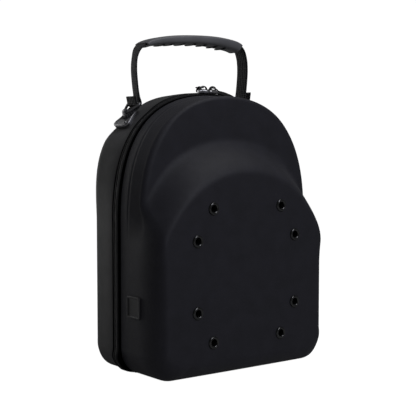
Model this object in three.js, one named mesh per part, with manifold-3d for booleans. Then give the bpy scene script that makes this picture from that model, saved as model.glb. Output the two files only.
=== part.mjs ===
// Moulded cap carrier: two hollow shells closed by a zip round the rim, a webbing
// handle with a ribbed grip, wire rings and metal anchors on the shoulders, eight
// vent eyelets in the crown bulge and a bare patch on one side.
// Millimetres. +X is right seen from the front, -Y is the front, +Z is up.
// Until the last lines Y = 0 is the plane where the two shells meet.

import * as THREE from 'three';
import { ParametricGeometry } from 'three/addons/geometries/ParametricGeometry.js';
import { mergeVertices } from 'three/addons/utils/BufferGeometryUtils.js';
import Module from 'manifold-3d';

// Case outline seen from the front
const CASE_WIDTH = 238;
const CASE_HEIGHT = 300;
const ARCH_SPRING = 167;      // height where the straight sides turn into the arch
const ARCH_FULLNESS = 0.664;  // 0.552 would be an ellipse, more is squarer
const BASE_CORNER = 29;       // radius of the two bottom corners
const CASE_CENTRE = 110;      // height of the point that the shells' faces close on

// Shells: moulded foam under cloth
const WALL = 4;
const TRAY_DEPTH = 37.5;      // front face at its edge round the arch, measured from the meeting plane
const TRAY_CROWN = 3.8;       // how much further the upper face swells in its middle
const TRAY_RADIUS = 7;        // edge rounding round the arch
const BULGE_DEPTH = 75.5;     // front of the crown bulge
const BULGE_BOW = 1;          // how far the bulge falls back at the case sides
const SIDE_ROUND_ACROSS = 15; // edge rounding at the bulge's sides, measured across its face
const SIDE_ROUND_DEEP = 28;   // the same measured along the wall
const BASE_ROUND = 20;        // edge rounding along the base
const BULGE_CENTRE = 100;     // height of the centre of the bulge's round top
const BULGE_FOOT = [          // radius where the bulge starts to rise, by its climb from side to top
  { climb: 0, radius: 150 },
  { climb: 0.4, radius: 141 },
  { climb: 0.6, radius: 141 },
  { climb: 0.95, radius: 152 },
];
const BULGE_TOP = 114.5;      // radius where it reaches full depth
const ROUND_LOW = 110;        // heights between which the rounding narrows from bulge to arch
const ROUND_HIGH = 184;
const FRONT_DRAFT = 0.05;     // side wall lean, in mm per mm of depth
const UPRIGHT_FROM = 0.3;     // the lean fades over the bottom corners, from this much down
const UPRIGHT_TO = 0.95;      // share of the outline's normal to this much
const BACK_DEPTH = 52;
const BACK_BOW = 2;
const BACK_RADIUS = 13;
const BACK_DRAFT = 0.03;
const BACK_SWELL = 0.13;      // how much the rear shoulders lean out instead, below the anchors
const SWELL_LOW = 152;        // heights over which that starts
const SWELL_HIGH = 215;
const SWELL_OUT = 0.35;       // up shares of the outline's normal over which it ends
const SWELL_UP = 0.6;

// Rim and zip
const SEAT_GAP = 0.3;         // clearance between pieces that rest on each other
const RIM_GAP = 0.45;         // clearance between the band and the shells under it
const BAND_THICK = 2.1;       // tape and its stitching
const BAND_HALF = 6.2;        // half the width of the zip band
const COIL_HALF = 2;          // half the width of the toothed chain
const FRONT_RIM = 8.4;        // depth where the front skin rolls in beside the band
const BACK_RIM = 7.2;         // the same on the back shell, with a finer groove
const RIM_INSET = 0.8;        // how far the skin lies inside the band there
const ZIP_START = 3;          // how many outline points from the middle of the base the zip starts
const OUTLINE_SPANS = [       // half the outline from the middle of the base, by share of the whole
  { end: 0.097, steps: 2 },   // base
  { end: 0.1035, steps: 1 },  // up to the zip's start
  { end: 0.146, steps: 3 },   // bottom corner
  { end: 0.255, steps: 3 },   // side
  { end: 0.355, steps: 12 },  // shoulder, where the bulge runs out
  { end: 0.5, steps: 8 },     // arch
];
const HALF_STEPS = OUTLINE_SPANS.reduce((sum, { steps }) => sum + steps, 0);
const ROUND_STEPS = 2 * HALF_STEPS;
const CORNER_LIFT = 2.2;      // how much thicker the band is round the bottom corners
const CORNER_TURN = 0.4;      // down share of the outline's normal where it is that thick

// Vent eyelets, placed about one centre on the bulge
const EYELET_HEIGHT = 108.5;
const EYELET_PAIRS = [
  { across: 46.5, up: 70.5 },
  { across: 67, up: 37.5 },
];
const EYELET_FLANGE = 6.6;    // radius of the collar
const EYELET_BORE = 3.6;
const EYELET_SLEEVE = 4.5;
const EYELET_PROUD = 1.7;
const EYELET_ROUND = 0.9;     // bevel of the collar
const EYELET_WASHER = 1;
const WASHER_GAP = 1.2;       // clearance of the washer under the curved lining
const EYELET_CLEARANCE = 0.6; // between the sleeve and its hole
const EYELET_SIDES = 12;

// Handle
const HANDLE_Y = 28;          // plane of the handle, over the middle of the back shell
const STRAP_WIDTH = 18.5;
const STRAP_THICK = 2;
const STRAP_TWIST = 16;       // degrees that the left leg turns between ring and grip
const TWIST_STEPS = 4;        // path steps over which it turns back below the grip
const STRAP_TAIL = [          // tail of the strap, outside and above the ring bar
  { out: 4.6, up: 8 },
  { out: 3.6, up: 4 },
];
const STRAP_BEND = [0, -45, -90, -135, -180];  // degrees round the bar
const STRAP_LEG = [           // from the bar up to the end of the grip
  { out: -2.9, up: 6 },
  { out: -1, up: 20 },
  { out: 0.5, up: 40 },
  { out: -0.8, up: 53 },
  { out: -5, up: 62.8 },
  { out: -13, up: 68.2 },
];
const HANDLE_LEAN = 3;        // how much higher the right end of the grip sits
const LEG_X = 76;
const BAR_Z = 290;            // height of the ring bar that the strap turns round
const GRIP_Z = 363.4;         // strap height in the middle of the grip
const GRIP_SAG = 1.2;         // how much lower the strap lies half way to the grip's end
const GRIP_WIDTH = 26;
const GRIP_THICK = 8.6;       // in the middle
const GRIP_END = 4.8;         // at its two ends
const GRIP_DROOP = 4.2;       // how much further the underside hangs at the right end
const GRIP_SQUARE = 0.6;      // 1 would be an elliptic section, less is squarer
const GRIP_RIBS = 9;
const RIB_DEPTH = 0.9;
const RIB_NONE = 0.06;        // shares of the grip from either end where the ribs start
const RIB_FULL = 0.14;        // and are full
const GRIP_UNDER = -0.5;      // how far round its section the ribbed underside starts
const GRIP_STEPS = 36;
const GRIP_SIDES = 10;
const SLOT_ACROSS = 1.6;      // ellipse, in half widths, that the strap's slot is cut from
const SLOT_TALL = 2.4;        // the same in half heights

// Wire rings and anchors on the shoulders
const WIRE = 1.6;             // wire radius
const RING_REACH = 15;        // from the strap bar out to the lug
const RING_HALF = 14.5;       // half the length of the strap bar
const RING_SIDE = [           // half of the ring, as shares of that reach and of that half length
  { out: 0, along: 0.35 },
  { out: 0, along: 0.83 },
  { out: 0.11, along: 1 },
  { out: 0.27, along: 0.9 },
  { out: 0.83, along: 0.41 },
];
const RING_DROP = 40;         // degrees that the ring slopes down outwards
const RING_STEPS = 30;
const RING_WIRE_SIDES = 6;
const ANCHOR_WIDTH = 26;
const ANCHOR_THICK = 4.6;
const ANCHOR_BEVEL = 0.8;     // how much thinner the plate is at its two edges
const ANCHOR_OUTER = 94;      // X of the plate's lower and upper edges on the shoulder
const ANCHOR_INNER = 77;
const ANCHOR_STEPS = 4;
const LUG_HALF = 3.6;
const LUG_WIDTH = 5;
const LUG_CLEARANCE = 0.9;    // between the wire and the lug's hole

// Zip sliders and pulls
const SLIDER_MIDDLE = 1.5;    // X where the two sliders meet
const SLIDER_LENGTH = 13;
const SLIDER_WIDTH = 8.6;
const SLIDER_TAIL = 5.7;      // width at the narrow end
const SLIDER_CHEEK = 0.6;     // share of its half length where the cheeks start to close
const SLIDER_NOTCH = 0.75;    // the same for the notch between the two mouths
const SLIDER_TALL = 4.6;
const BRIDGE = 4.3;           // radius of the half loop on each slider
const BRIDGE_WIDTH = 2.4;
const BRIDGE_THICK = 1.3;
const BRIDGE_STEPS = 10;
const LINK = 4.2;             // radius of the round link
const LINK_WIRE = 0.65;
const LINK_WIRE_SIDES = 5;
const LINK_STEPS = 16;
const TAB_LENGTH = 27;
const TAB_WIDTH = 5.6;
const TAB_THICK = 2.4;
const TAB_EYE = 2.4;          // width of the tab's eye round the link
const TAB_EYE_RADIUS = 1.7;
const TAB_CLEARANCE = 0.45;   // between the link and the tab's eye
const PULLS = [               // the right pull lies along the zip, the left one over the rear shell
  { name: 'left', side: -1, linkTurn: 180, tabTurn: 56, drop: 5.6 },
  { name: 'right', side: 1, linkTurn: 0, tabTurn: 0, drop: 8 },
];

// Bare patch on the left side of the front shell
const PATCH_DEPTH = 31.5;     // its middle, forward of the meeting plane
const PATCH_HEIGHT = 76.5;
const PATCH_SIZE = 23;
const PATCH_THICK = 0.8;
const PATCH_RAISE = 0.4;      // how far the border stands above the middle
const PATCH_BORDER = 2;

const wasm = await Module();
wasm.setup();

function finish(color, roughness, metalness) {
  return new THREE.MeshStandardMaterial({ color, roughness, metalness });
}

const cloth = () => finish(0x1c1c1f, 0.85, 0);
const webbing = () => finish(0x202022, 0.9, 0);
const rubber = () => finish(0x262628, 0.55, 0);
const gunmetal = () => finish(0x5a5a5e, 0.28, 1);
const enamel = () => finish(0x0c0c0d, 0.2, 0.6);

// Only positions are kept, shared corners are joined, empty triangles are dropped
// and the faces are turned to point out.
function closeUp(geometry) {
  const bare = geometry.clone();
  bare.deleteAttribute('normal');
  bare.deleteAttribute('uv');
  const merged = mergeVertices(bare, 1e-4);
  const at = merged.getAttribute('position');
  const corners = [new THREE.Vector3(), new THREE.Vector3(), new THREE.Vector3()];
  const kept = [];
  let volume = 0;
  for (let i = 0; i < merged.index.count; i += 3) {
    const tri = [0, 1, 2].map((k) => merged.index.getX(i + k));
    if (new Set(tri).size < 3) continue;
    tri.forEach((vertex, k) => corners[k].fromBufferAttribute(at, vertex));
    volume += corners[0].dot(corners[1].clone().cross(corners[2]));
    kept.push(tri);
  }
  merged.setIndex(kept.flatMap((tri) => (volume < 0 ? [tri[0], tri[2], tri[1]] : tri)));
  return merged;
}

function toSolid(geometry) {
  const closed = closeUp(geometry);
  const vertProperties = new Float32Array(closed.getAttribute('position').array);
  const triVerts = new Uint32Array(closed.index.array);
  return new wasm.Manifold(new wasm.Mesh({ numProp: 3, vertProperties, triVerts }));
}

function fromSolid(solid) {
  const mesh = solid.getMesh();
  const geometry = new THREE.BufferGeometry();
  geometry.setAttribute('position', new THREE.BufferAttribute(mesh.vertProperties, 3));
  geometry.setIndex(new THREE.BufferAttribute(mesh.triVerts, 1));
  return geometry;
}

function fuse(...pieces) {
  return fromSolid(pieces.map(toSolid).reduce((whole, piece) => whole.add(piece)));
}

function cut(body, ...tools) {
  return fromSolid(tools.map(toSolid).reduce((rest, tool) => rest.subtract(tool), toSolid(body)));
}

const carrier = new THREE.Group();

function place(name, geometry, material) {
  const mesh = new THREE.Mesh(closeUp(geometry), material);
  mesh.name = name;
  carrier.add(mesh);
}

// The D-shaped outline of the zip band, anticlockwise from the middle of the base
function caseOutline() {
  const half = CASE_WIDTH / 2;
  const reach = ARCH_SPRING + ARCH_FULLNESS * (CASE_HEIGHT - ARCH_SPRING);
  const path = new THREE.Path();
  path.moveTo(0, 0);
  path.lineTo(half - BASE_CORNER, 0);
  path.absarc(half - BASE_CORNER, BASE_CORNER, BASE_CORNER, -Math.PI / 2, 0, false);
  path.lineTo(half, ARCH_SPRING);
  path.bezierCurveTo(half, reach, ARCH_FULLNESS * half, CASE_HEIGHT, 0, CASE_HEIGHT);
  path.bezierCurveTo(-ARCH_FULLNESS * half, CASE_HEIGHT, -half, reach, -half, ARCH_SPRING);
  path.lineTo(-half, BASE_CORNER);
  path.absarc(-half + BASE_CORNER, BASE_CORNER, BASE_CORNER, Math.PI, 1.5 * Math.PI, false);
  path.lineTo(0, 0);
  return path;
}

const outline = caseOutline();

// Share of the outline at one of its points, counted from the middle of the base
function shareAt(index) {
  if (index < 0) return -shareAt(-index);
  if (index > HALF_STEPS) return 1 - shareAt(ROUND_STEPS - index);
  let [from, first] = [0, 0];
  for (const { end, steps } of OUTLINE_SPANS) {
    if (index <= first + steps) return from + ((end - from) * (index - first)) / steps;
    [from, first] = [end, first + steps];
  }
  return from;
}

// Point and outward normal of the outline at a share of its length, in X and Z
function outlineAt(share) {
  const point = outline.getPointAt(share);
  const along = outline.getTangentAt(share);
  return { point, normal: new THREE.Vector2(along.y, -along.x) };
}

const mix = THREE.MathUtils.lerp;
const ease = THREE.MathUtils.smoothstep;

// Radius of the bulge's foot for a climb, the up share of the direction from the bulge's centre
function bulgeFoot(climb) {
  return BULGE_FOOT.slice(1).reduce((radius, row, i) => {
    const before = BULGE_FOOT[i];
    return radius + (row.radius - before.radius) * ease(climb, before.climb, row.climb);
  }, BULGE_FOOT[0].radius);
}

// Depth of the front face at a place: the upper tray, and the crown bulge that rises from it
function frontDepth(x, z) {
  const half = CASE_WIDTH / 2;
  const spread = (x / half) ** 2;
  const above = Math.max(z - BULGE_CENTRE, 0);
  const radius = Math.max(Math.hypot(x, above), 1);
  const risen = 1 - ease(radius, BULGE_TOP, bulgeFoot(above / radius));
  const tray = TRAY_DEPTH + TRAY_CROWN * (1 - spread);
  return mix(tray, BULGE_DEPTH - BULGE_BOW * spread, risen);
}

function backDepth(x) {
  return BACK_DEPTH - BACK_BOW * (x / (CASE_WIDTH / 2)) ** 2;
}

const STEEPEST = 2;           // the most that a slope thickens the wall

// Steepness of a face, which thickens the wall measured along Y
function steepness(depth, x, z) {
  const step = 0.5;
  const dx = (depth(x + step, z) - depth(x - step, z)) / (2 * step);
  const dz = (depth(x, z + step) - depth(x, z - step)) / (2 * step);
  return Math.min(Math.hypot(1, dx, dz), STEEPEST);
}

const CREST_LIMIT = 0.86;     // largest share of a ray where the bulge's crest is drawn
const FOOT_LIMIT = 0.96;      // the same for its foot

// Shares of a ray from the centre to the rounding where the bulge is full and where it starts
function bulgeZones(arm, end) {
  const below = CASE_CENTRE - BULGE_CENTRE;
  const crossing = (radius) => {
    const [a, b, c] = [arm.lengthSq(), arm.y * below, below ** 2 - radius ** 2];
    return (-b + Math.sqrt(b * b - a * c)) / a;
  };
  const foot = crossing(bulgeFoot(Math.max(arm.y, 0) / arm.length()));
  return [0, Math.min(crossing(BULGE_TOP), CREST_LIMIT * end), Math.min(foot, FOOT_LIMIT * end), end];
}

// Rings of a face: the whole part counts the zone between two of those shares
const FRONT_RINGS = [0, 0.5, 1, 1.2, 1.4, 1.6, 1.8, 2, 2.5];
const FRONT_LINING_RINGS = [0, 1, 1.33, 1.67, 2];
const BACK_RINGS = [0, 1.5];
const OUTER_ANGLES = [0, 22.5, 45, 67.5, 90];
const INNER_ANGLES = [0, 45, 90];

// One closed hollow tray. Stations run from the middle of the outer face over the edge
// and down the wall to the rim, then back up the inside to the middle of the inner face.
function trayStations(rings, liningRings, rim) {
  const seat = BAND_THICK + RIM_GAP;
  const face = (offset) => (ring) => ({ kind: 'face', ring, offset });
  const edge = (offset) => (angle) => ({ kind: 'edge', angle: THREE.MathUtils.degToRad(angle), offset });
  return [
    ...rings.map(face(0)),
    ...OUTER_ANGLES.map(edge(0)),
    { kind: 'wall', share: 0.5, offset: 0 },
    { kind: 'wall', share: 1, offset: 0 },
    { kind: 'rim', inset: seat, depth: rim },
    { kind: 'rim', inset: seat, depth: SEAT_GAP },
    { kind: 'rim', inset: seat + WALL, depth: SEAT_GAP },
    { kind: 'wall', share: 1, offset: seat + WALL - RIM_INSET },
    ...INNER_ANGLES.toReversed().map(edge(WALL)),
    ...liningRings.toReversed().map(face(WALL)),
  ];
}

function trayShell({ side, depth, roundingAt, draftAt, rings, liningRings, rim }) {
  const stations = trayStations(rings, liningRings, rim);
  const shape = (u, v, target) => {
    const { point, normal } = outlineAt(shareAt(Math.round(u * ROUND_STEPS)));
    const arm = new THREE.Vector2(point.x, point.y - CASE_CENTRE);
    const apothem = arm.dot(normal);
    // The base has no lean, so that the case stands flat on it
    const lean = 1 - ease(-normal.y, UPRIGHT_FROM, UPRIGHT_TO);
    const { across, deep } = roundingAt(point, normal);
    const spot = (inset) => arm.clone().multiplyScalar(1 - inset / apothem);
    const depthAt = (p) => depth(p.x, p.y + CASE_CENTRE);
    const through = (p) => steepness(depth, p.x, p.y + CASE_CENTRE);
    const skin = (d) => lean * (RIM_INSET + draftAt(point, normal) * Math.max(d - rim, 0));
    const shoulder = skin(depthAt(spot(across)) - deep);
    const { kind, ring, angle, share, offset, ...fixed } = stations[Math.round(v * (stations.length - 1))];

    let { inset, depth: d } = fixed;
    if (kind === 'face') {
      const zones = bulgeZones(arm, 1 - (shoulder + across) / apothem);
      const zone = Math.floor(ring);
      inset = apothem * (1 - mix(zones[zone], zones[zone + 1], ring - zone));
      d = depthAt(spot(inset)) - offset * through(spot(inset));
    } else if (kind === 'edge') {
      inset = shoulder + offset + (across - offset) * (1 - Math.sin(angle));
      const wall = offset * mix(1, through(spot(inset)), Math.cos(angle));
      d = depthAt(spot(inset)) - wall - (deep - offset) * (1 - Math.cos(angle));
    } else if (kind === 'wall') {
      d = mix(depthAt(spot(shoulder)) - deep, rim, share);
      inset = skin(d) + offset;
    }
    const p = spot(inset);
    target.set(p.x, side * d, p.y + CASE_CENTRE);
  };
  return new ParametricGeometry(shape, ROUND_STEPS, stations.length - 1);
}

// The edge rounding widens from the arch down to the bulge
function frontRounding(point, normal) {
  const arch = ease(point.y, ROUND_LOW, ROUND_HIGH);
  const base = ease(-normal.y, UPRIGHT_FROM, UPRIGHT_TO);
  const round = (side) => mix(mix(side, BASE_ROUND, base), TRAY_RADIUS, arch);
  return { across: round(SIDE_ROUND_ACROSS), deep: round(SIDE_ROUND_DEEP) };
}

// The back shell's wall leans in with depth, and swells out below the anchors
function backDraft(point, normal) {
  const shoulder = ease(point.y, SWELL_LOW, SWELL_HIGH) * (1 - ease(normal.y, SWELL_OUT, SWELL_UP));
  return mix(BACK_DRAFT, -BACK_SWELL, shoulder);
}

function makeShells() {
  const back = trayShell({
    side: 1,
    depth: backDepth,
    roundingAt: () => ({ across: BACK_RADIUS, deep: BACK_RADIUS }),
    draftAt: backDraft,
    rings: BACK_RINGS,
    liningRings: BACK_RINGS,
    rim: BACK_RIM,
  });
  place('back_shell', back, cloth());

  const front = trayShell({
    side: -1,
    depth: frontDepth,
    roundingAt: frontRounding,
    draftAt: () => FRONT_DRAFT,
    rings: FRONT_RINGS,
    liningRings: FRONT_LINING_RINGS,
    rim: FRONT_RIM,
  });
  const drills = eyeletPlaces().map(({ x, z }) => {
    const bore = EYELET_SLEEVE + EYELET_CLEARANCE;
    const drill = new THREE.CylinderGeometry(bore, bore, 4 * WALL, EYELET_SIDES);
    return drill.translate(x, -frontDepth(x, z), z);
  });
  place('front_shell', cut(front, ...drills), cloth());
}

function eyeletPlaces() {
  const places = [];
  for (const { across, up } of EYELET_PAIRS) {
    for (const [i, j] of [[-1, 1], [1, 1], [-1, -1], [1, -1]]) {
      places.push({ x: i * across, z: EYELET_HEIGHT + j * up });
    }
  }
  return places;
}

// Collar, sleeve and inner washer in one turned piece
function makeEyelets() {
  const outer = WALL / 2 + SEAT_GAP;
  const inner = -WALL / 2 - WASHER_GAP;
  const profile = [
    [EYELET_BORE, inner - EYELET_WASHER],
    [EYELET_FLANGE, inner - EYELET_WASHER],
    [EYELET_FLANGE, inner],
    [EYELET_SLEEVE, inner],
    [EYELET_SLEEVE, outer],
    [EYELET_FLANGE, outer],
    [EYELET_FLANGE - EYELET_ROUND, outer + EYELET_PROUD],
    [EYELET_BORE + EYELET_ROUND, outer + EYELET_PROUD],
    [EYELET_BORE, outer + EYELET_PROUD - EYELET_ROUND],
    [EYELET_BORE, inner - EYELET_WASHER],
  ].map(([r, h]) => new THREE.Vector2(r, h));
  eyeletPlaces().forEach(({ x, z }, i) => {
    const turned = new THREE.LatheGeometry(profile, EYELET_SIDES);
    turned.rotateX(Math.PI);
    turned.translate(x, -frontDepth(x, z) + WALL / 2, z);
    place(`eyelet_${i + 1}`, turned, enamel());
  });
}

// A section carried along stations. Each frame gives the middle and the two section axes.
// An open sweep closes at its ends on the middle of the section.
function sweep(frameAt, section, steps, closed = false) {
  const corners = section.length;
  const last = closed ? steps : steps + 2;
  const shape = (u, v, target) => {
    const i = Math.round(u * last);
    const capped = !closed && (i === 0 || i === last);
    const t = closed ? i / steps : THREE.MathUtils.clamp(i - 1, 0, steps) / steps;
    const frame = frameAt(closed ? t % 1 : t);
    const [p, q] = capped ? [0, 0] : section[Math.round(v * corners) % corners];
    target.copy(frame.middle).addScaledVector(frame.across, p).addScaledVector(frame.out, q);
  };
  return new ParametricGeometry(shape, last, corners);
}

const rectangle = (width, height) => [
  [-width / 2, -height / 2],
  [width / 2, -height / 2],
  [width / 2, height / 2],
  [-width / 2, height / 2],
];

const ellipse = (a, b, sides) => Array.from({ length: sides }, (_, i) => {
  const angle = (2 * Math.PI * i) / sides;
  return [a * Math.cos(angle), b * Math.sin(angle)];
});

// A strip that lies round the rim between two of the outline's points, short of each by a gap
function rimStrip(from, to, y, width) {
  const gap = SEAT_GAP / outline.getLength();
  const frameAt = (t) => {
    const share = shareAt(Math.round(mix(from, to, t))) + (t === 0 ? gap : 0) - (t === 1 ? gap : 0);
    const { point, normal } = outlineAt((share + 1) % 1);
    const out = new THREE.Vector3(normal.x, 0, normal.y);
    const lift = Math.min(CORNER_LIFT * ease(-normal.y, 0, CORNER_TURN), point.y / 2);
    const middle = new THREE.Vector3(point.x, y, point.y).addScaledVector(out, (lift - BAND_THICK) / 2);
    return { middle, across: new THREE.Vector3(0, 1, 0), out: out.multiplyScalar(BAND_THICK + lift) };
  };
  return sweep(frameAt, rectangle(width, 1), to - from);
}

// Two tapes with the toothed chain between them, and a plain hinge strip across the base
function makeZip() {
  const tape = BAND_HALF - COIL_HALF - SEAT_GAP;
  const tapeY = BAND_HALF - tape / 2;
  const end = ROUND_STEPS - ZIP_START;
  place('zip_tape_front', rimStrip(ZIP_START, end, -tapeY, tape), webbing());
  place('zip_tape_back', rimStrip(ZIP_START, end, tapeY, tape), webbing());
  place('zip_chain', rimStrip(ZIP_START, end, 0, 2 * COIL_HALF), enamel());
  place('hinge_strip', rimStrip(-ZIP_START, ZIP_START, 0, 2 * BAND_HALF), webbing());
}

// Points on the strap's middle, from the tail outside the left ring bar, round that bar,
// up and over, to the tail outside the right bar
function strapPoints() {
  const wrap = WIRE + SEAT_GAP + STRAP_THICK / 2;
  const bend = STRAP_BEND.map((angle) => {
    const a = THREE.MathUtils.degToRad(angle);
    return { out: wrap * Math.cos(a), up: wrap * Math.sin(a) };
  });
  const rise = GRIP_Z - BAR_Z;
  const middle = [{ out: -LEG_X / 2, up: rise - GRIP_SAG }, { out: -LEG_X, up: rise }];
  const half = [...STRAP_TAIL, ...bend, ...STRAP_LEG, ...middle];
  const point = (side) => ({ out, up }) => {
    const x = side * (LEG_X + out);
    const lean = (HANDLE_LEAN * (x / LEG_X) * Math.max(up, 0)) / rise;
    return new THREE.Vector3(x, HANDLE_Y, BAR_Z + up + lean);
  };
  return [...half.map(point(-1)), ...half.slice(0, -1).toReversed().map(point(1))];
}

const strapPath = strapPoints();
const strapCurve = new THREE.CatmullRomCurve3(strapPath, false, 'centripetal');
const STRAP_STEPS = 2 * (strapPath.length - 1);
const GRIP_START = 2 * (STRAP_TAIL.length + STRAP_BEND.length + STRAP_LEG.length - 1);

// Frame of the strap: its width lies along Y, and the left leg is turned about its own length
function strapFrame(t) {
  const middle = strapCurve.getPoint(t);
  const along = strapCurve.getTangent(t);
  const out = new THREE.Vector3(-along.z, 0, along.x);
  const across = new THREE.Vector3(0, 1, 0);
  const step = t * STRAP_STEPS;
  const first = 2 * (STRAP_TAIL.length + STRAP_BEND.length);
  const leg = ease(step, first - 2, first + 1) * (1 - ease(step, GRIP_START - TWIST_STEPS, GRIP_START));
  const turn = THREE.MathUtils.degToRad(-STRAP_TWIST) * leg;
  across.applyAxisAngle(along, turn);
  out.applyAxisAngle(along, turn);
  return { middle, across, out };
}

// Ribbed sleeve round the strap: the outside runs left to right, the slot runs back
function gripSleeve() {
  const from = GRIP_START / STRAP_STEPS;
  const inner = STRAP_STEPS - 2 * GRIP_START;
  const loop = GRIP_STEPS + inner + 2;
  const slot = [STRAP_WIDTH / 2 + SEAT_GAP, STRAP_THICK / 2 + SEAT_GAP];
  const shape = (u, v, target) => {
    const i = Math.round(u * loop) % loop;
    const outside = i <= GRIP_STEPS;
    const s = outside ? i / GRIP_STEPS : (loop - 1 - i) / inner;
    const frame = strapFrame(mix(from, 1 - from, s));
    const angle = (2 * Math.PI * Math.round(v * GRIP_SIDES)) / GRIP_SIDES;
    const [c, d] = [Math.cos(angle), Math.sin(angle)];
    const squared = (value) => Math.sign(value) * Math.abs(value) ** GRIP_SQUARE;
    let p = slot[0] * THREE.MathUtils.clamp(SLOT_ACROSS * c, -1, 1);
    let q = slot[1] * THREE.MathUtils.clamp(SLOT_TALL * d, -1, 1);
    if (outside) {
      const thick = mix(GRIP_END, GRIP_THICK, Math.sin(Math.PI * s));
      const ribbed = ease(Math.min(s, 1 - s), RIB_NONE, RIB_FULL);
      const rib = RIB_DEPTH * ribbed * Math.max(0, Math.cos(2 * Math.PI * GRIP_RIBS * s));
      p = (squared(c) * GRIP_WIDTH) / 2;
      const droop = GRIP_DROOP * ease(s, 0.5, 1) * Math.max(0, -d);
      q = (squared(d) * thick) / 2 + (d < GRIP_UNDER ? rib : 0) - droop;
    }
    target.copy(frame.middle).addScaledVector(frame.across, p).addScaledVector(frame.out, q);
  };
  return new ParametricGeometry(shape, loop, GRIP_SIDES);
}

function makeHandle() {
  place('handle_strap', sweep(strapFrame, rectangle(STRAP_WIDTH, STRAP_THICK), STRAP_STEPS), webbing());
  place('handle_grip', gripSleeve(), rubber());
}

// Closed wire ring through points in space
function wireRing(points, wire, steps, sides) {
  const curve = new THREE.CatmullRomCurve3(points, true, 'centripetal');
  const plane = new THREE.Vector3().crossVectors(
    points[1].clone().sub(points[0]),
    points[2].clone().sub(points[0]),
  ).normalize();
  const frameAt = (t) => {
    const along = curve.getTangentAt(t);
    const out = new THREE.Vector3().crossVectors(along, plane).normalize();
    return { middle: curve.getPointAt(t), across: plane, out };
  };
  return sweep(frameAt, ellipse(wire, wire, sides), steps, true);
}

// Three-cornered ring: a straight bar for the strap, two sides closing on the lug
function strapRing(side) {
  const drop = THREE.MathUtils.degToRad(RING_DROP);
  const corner = (s, y) => new THREE.Vector3(
    side * (LEG_X + s * Math.cos(drop)),
    HANDLE_Y + y,
    BAR_Z - s * Math.sin(drop),
  );
  const half = RING_SIDE.map(({ out, along }) => [out * RING_REACH, along * RING_HALF]);
  const points = [
    ...half.map(([s, y]) => corner(s, y)),
    corner(RING_REACH, 0),
    ...half.toReversed().map(([s, y]) => corner(s, -y)),
  ];
  return wireRing(points, WIRE, RING_STEPS, RING_WIRE_SIDES);
}

const RIGHT_SHOULDER = [0.3, 0.5];  // shares of the outline that enclose it
const HALVINGS = 40;

// Share of the outline at which the right shoulder passes a given X
function shoulderShare(x) {
  let [low, high] = RIGHT_SHOULDER;
  for (let i = 0; i < HALVINGS; i += 1) {
    const half = (low + high) / 2;
    if (outlineAt(half).point.x > x) low = half;
    else high = half;
  }
  return low;
}

// Plate on the shoulder, curved below to sit on the shell, with an upright lug that holds the ring
function anchor(side) {
  const [from, to] = [shoulderShare(ANCHOR_OUTER), shoulderShare(ANCHOR_INNER)];
  const under = [];
  const over = [];
  for (let i = 0; i <= ANCHOR_STEPS; i += 1) {
    const { point, normal } = outlineAt(mix(from, to, i / ANCHOR_STEPS));
    const lift = ANCHOR_THICK - (i === 0 || i === ANCHOR_STEPS ? ANCHOR_BEVEL : 0);
    under.push(point.clone().addScaledVector(normal, SEAT_GAP - RIM_INSET));
    over.push(point.clone().addScaledVector(normal, lift));
  }
  const plate = new THREE.Shape([...under, ...over.toReversed()]);
  const drop = THREE.MathUtils.degToRad(RING_DROP);
  const eye = new THREE.Vector2(
    LEG_X + RING_REACH * Math.cos(drop),
    BAR_Z - RING_REACH * Math.sin(drop),
  );
  const { point, normal } = outlineAt((from + to) / 2);
  const foot = point.clone().addScaledVector(normal, ANCHOR_THICK / 2);
  const lean = Math.atan2(eye.y - foot.y, eye.x - foot.x);
  const lug = new THREE.Shape();
  lug.absarc(eye.x, eye.y, LUG_HALF, lean - Math.PI / 2, lean + Math.PI / 2, false);
  lug.lineTo(foot.x - LUG_HALF * normal.y, foot.y + LUG_HALF * normal.x);
  lug.lineTo(foot.x + LUG_HALF * normal.y, foot.y - LUG_HALF * normal.x);
  const bore = new THREE.Path();
  bore.absarc(eye.x, eye.y, WIRE + LUG_CLEARANCE, 0, 2 * Math.PI, true);
  lug.holes.push(bore);
  const slab = (shape, width) => {
    const solid = new THREE.ExtrudeGeometry(shape, { depth: width, bevelEnabled: false, curveSegments: 6 });
    return solid.rotateX(Math.PI / 2).translate(0, HANDLE_Y + width / 2, 0);
  };
  const whole = fuse(slab(plate, ANCHOR_WIDTH), slab(lug, LUG_WIDTH));
  return side < 0 ? whole.scale(-1, 1, 1) : whole;
}

function makeAnchors() {
  for (const [side, name] of [[-1, 'left'], [1, 'right']]) {
    place(`strap_ring_${name}`, strapRing(side), gunmetal());
    place(`anchor_${name}`, anchor(side), gunmetal());
  }
}

const SLIDER_SEAT = CASE_HEIGHT + SEAT_GAP;
const LINK_Z = SLIDER_SEAT + SLIDER_TALL + TAB_EYE_RADIUS + SEAT_GAP;

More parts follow.
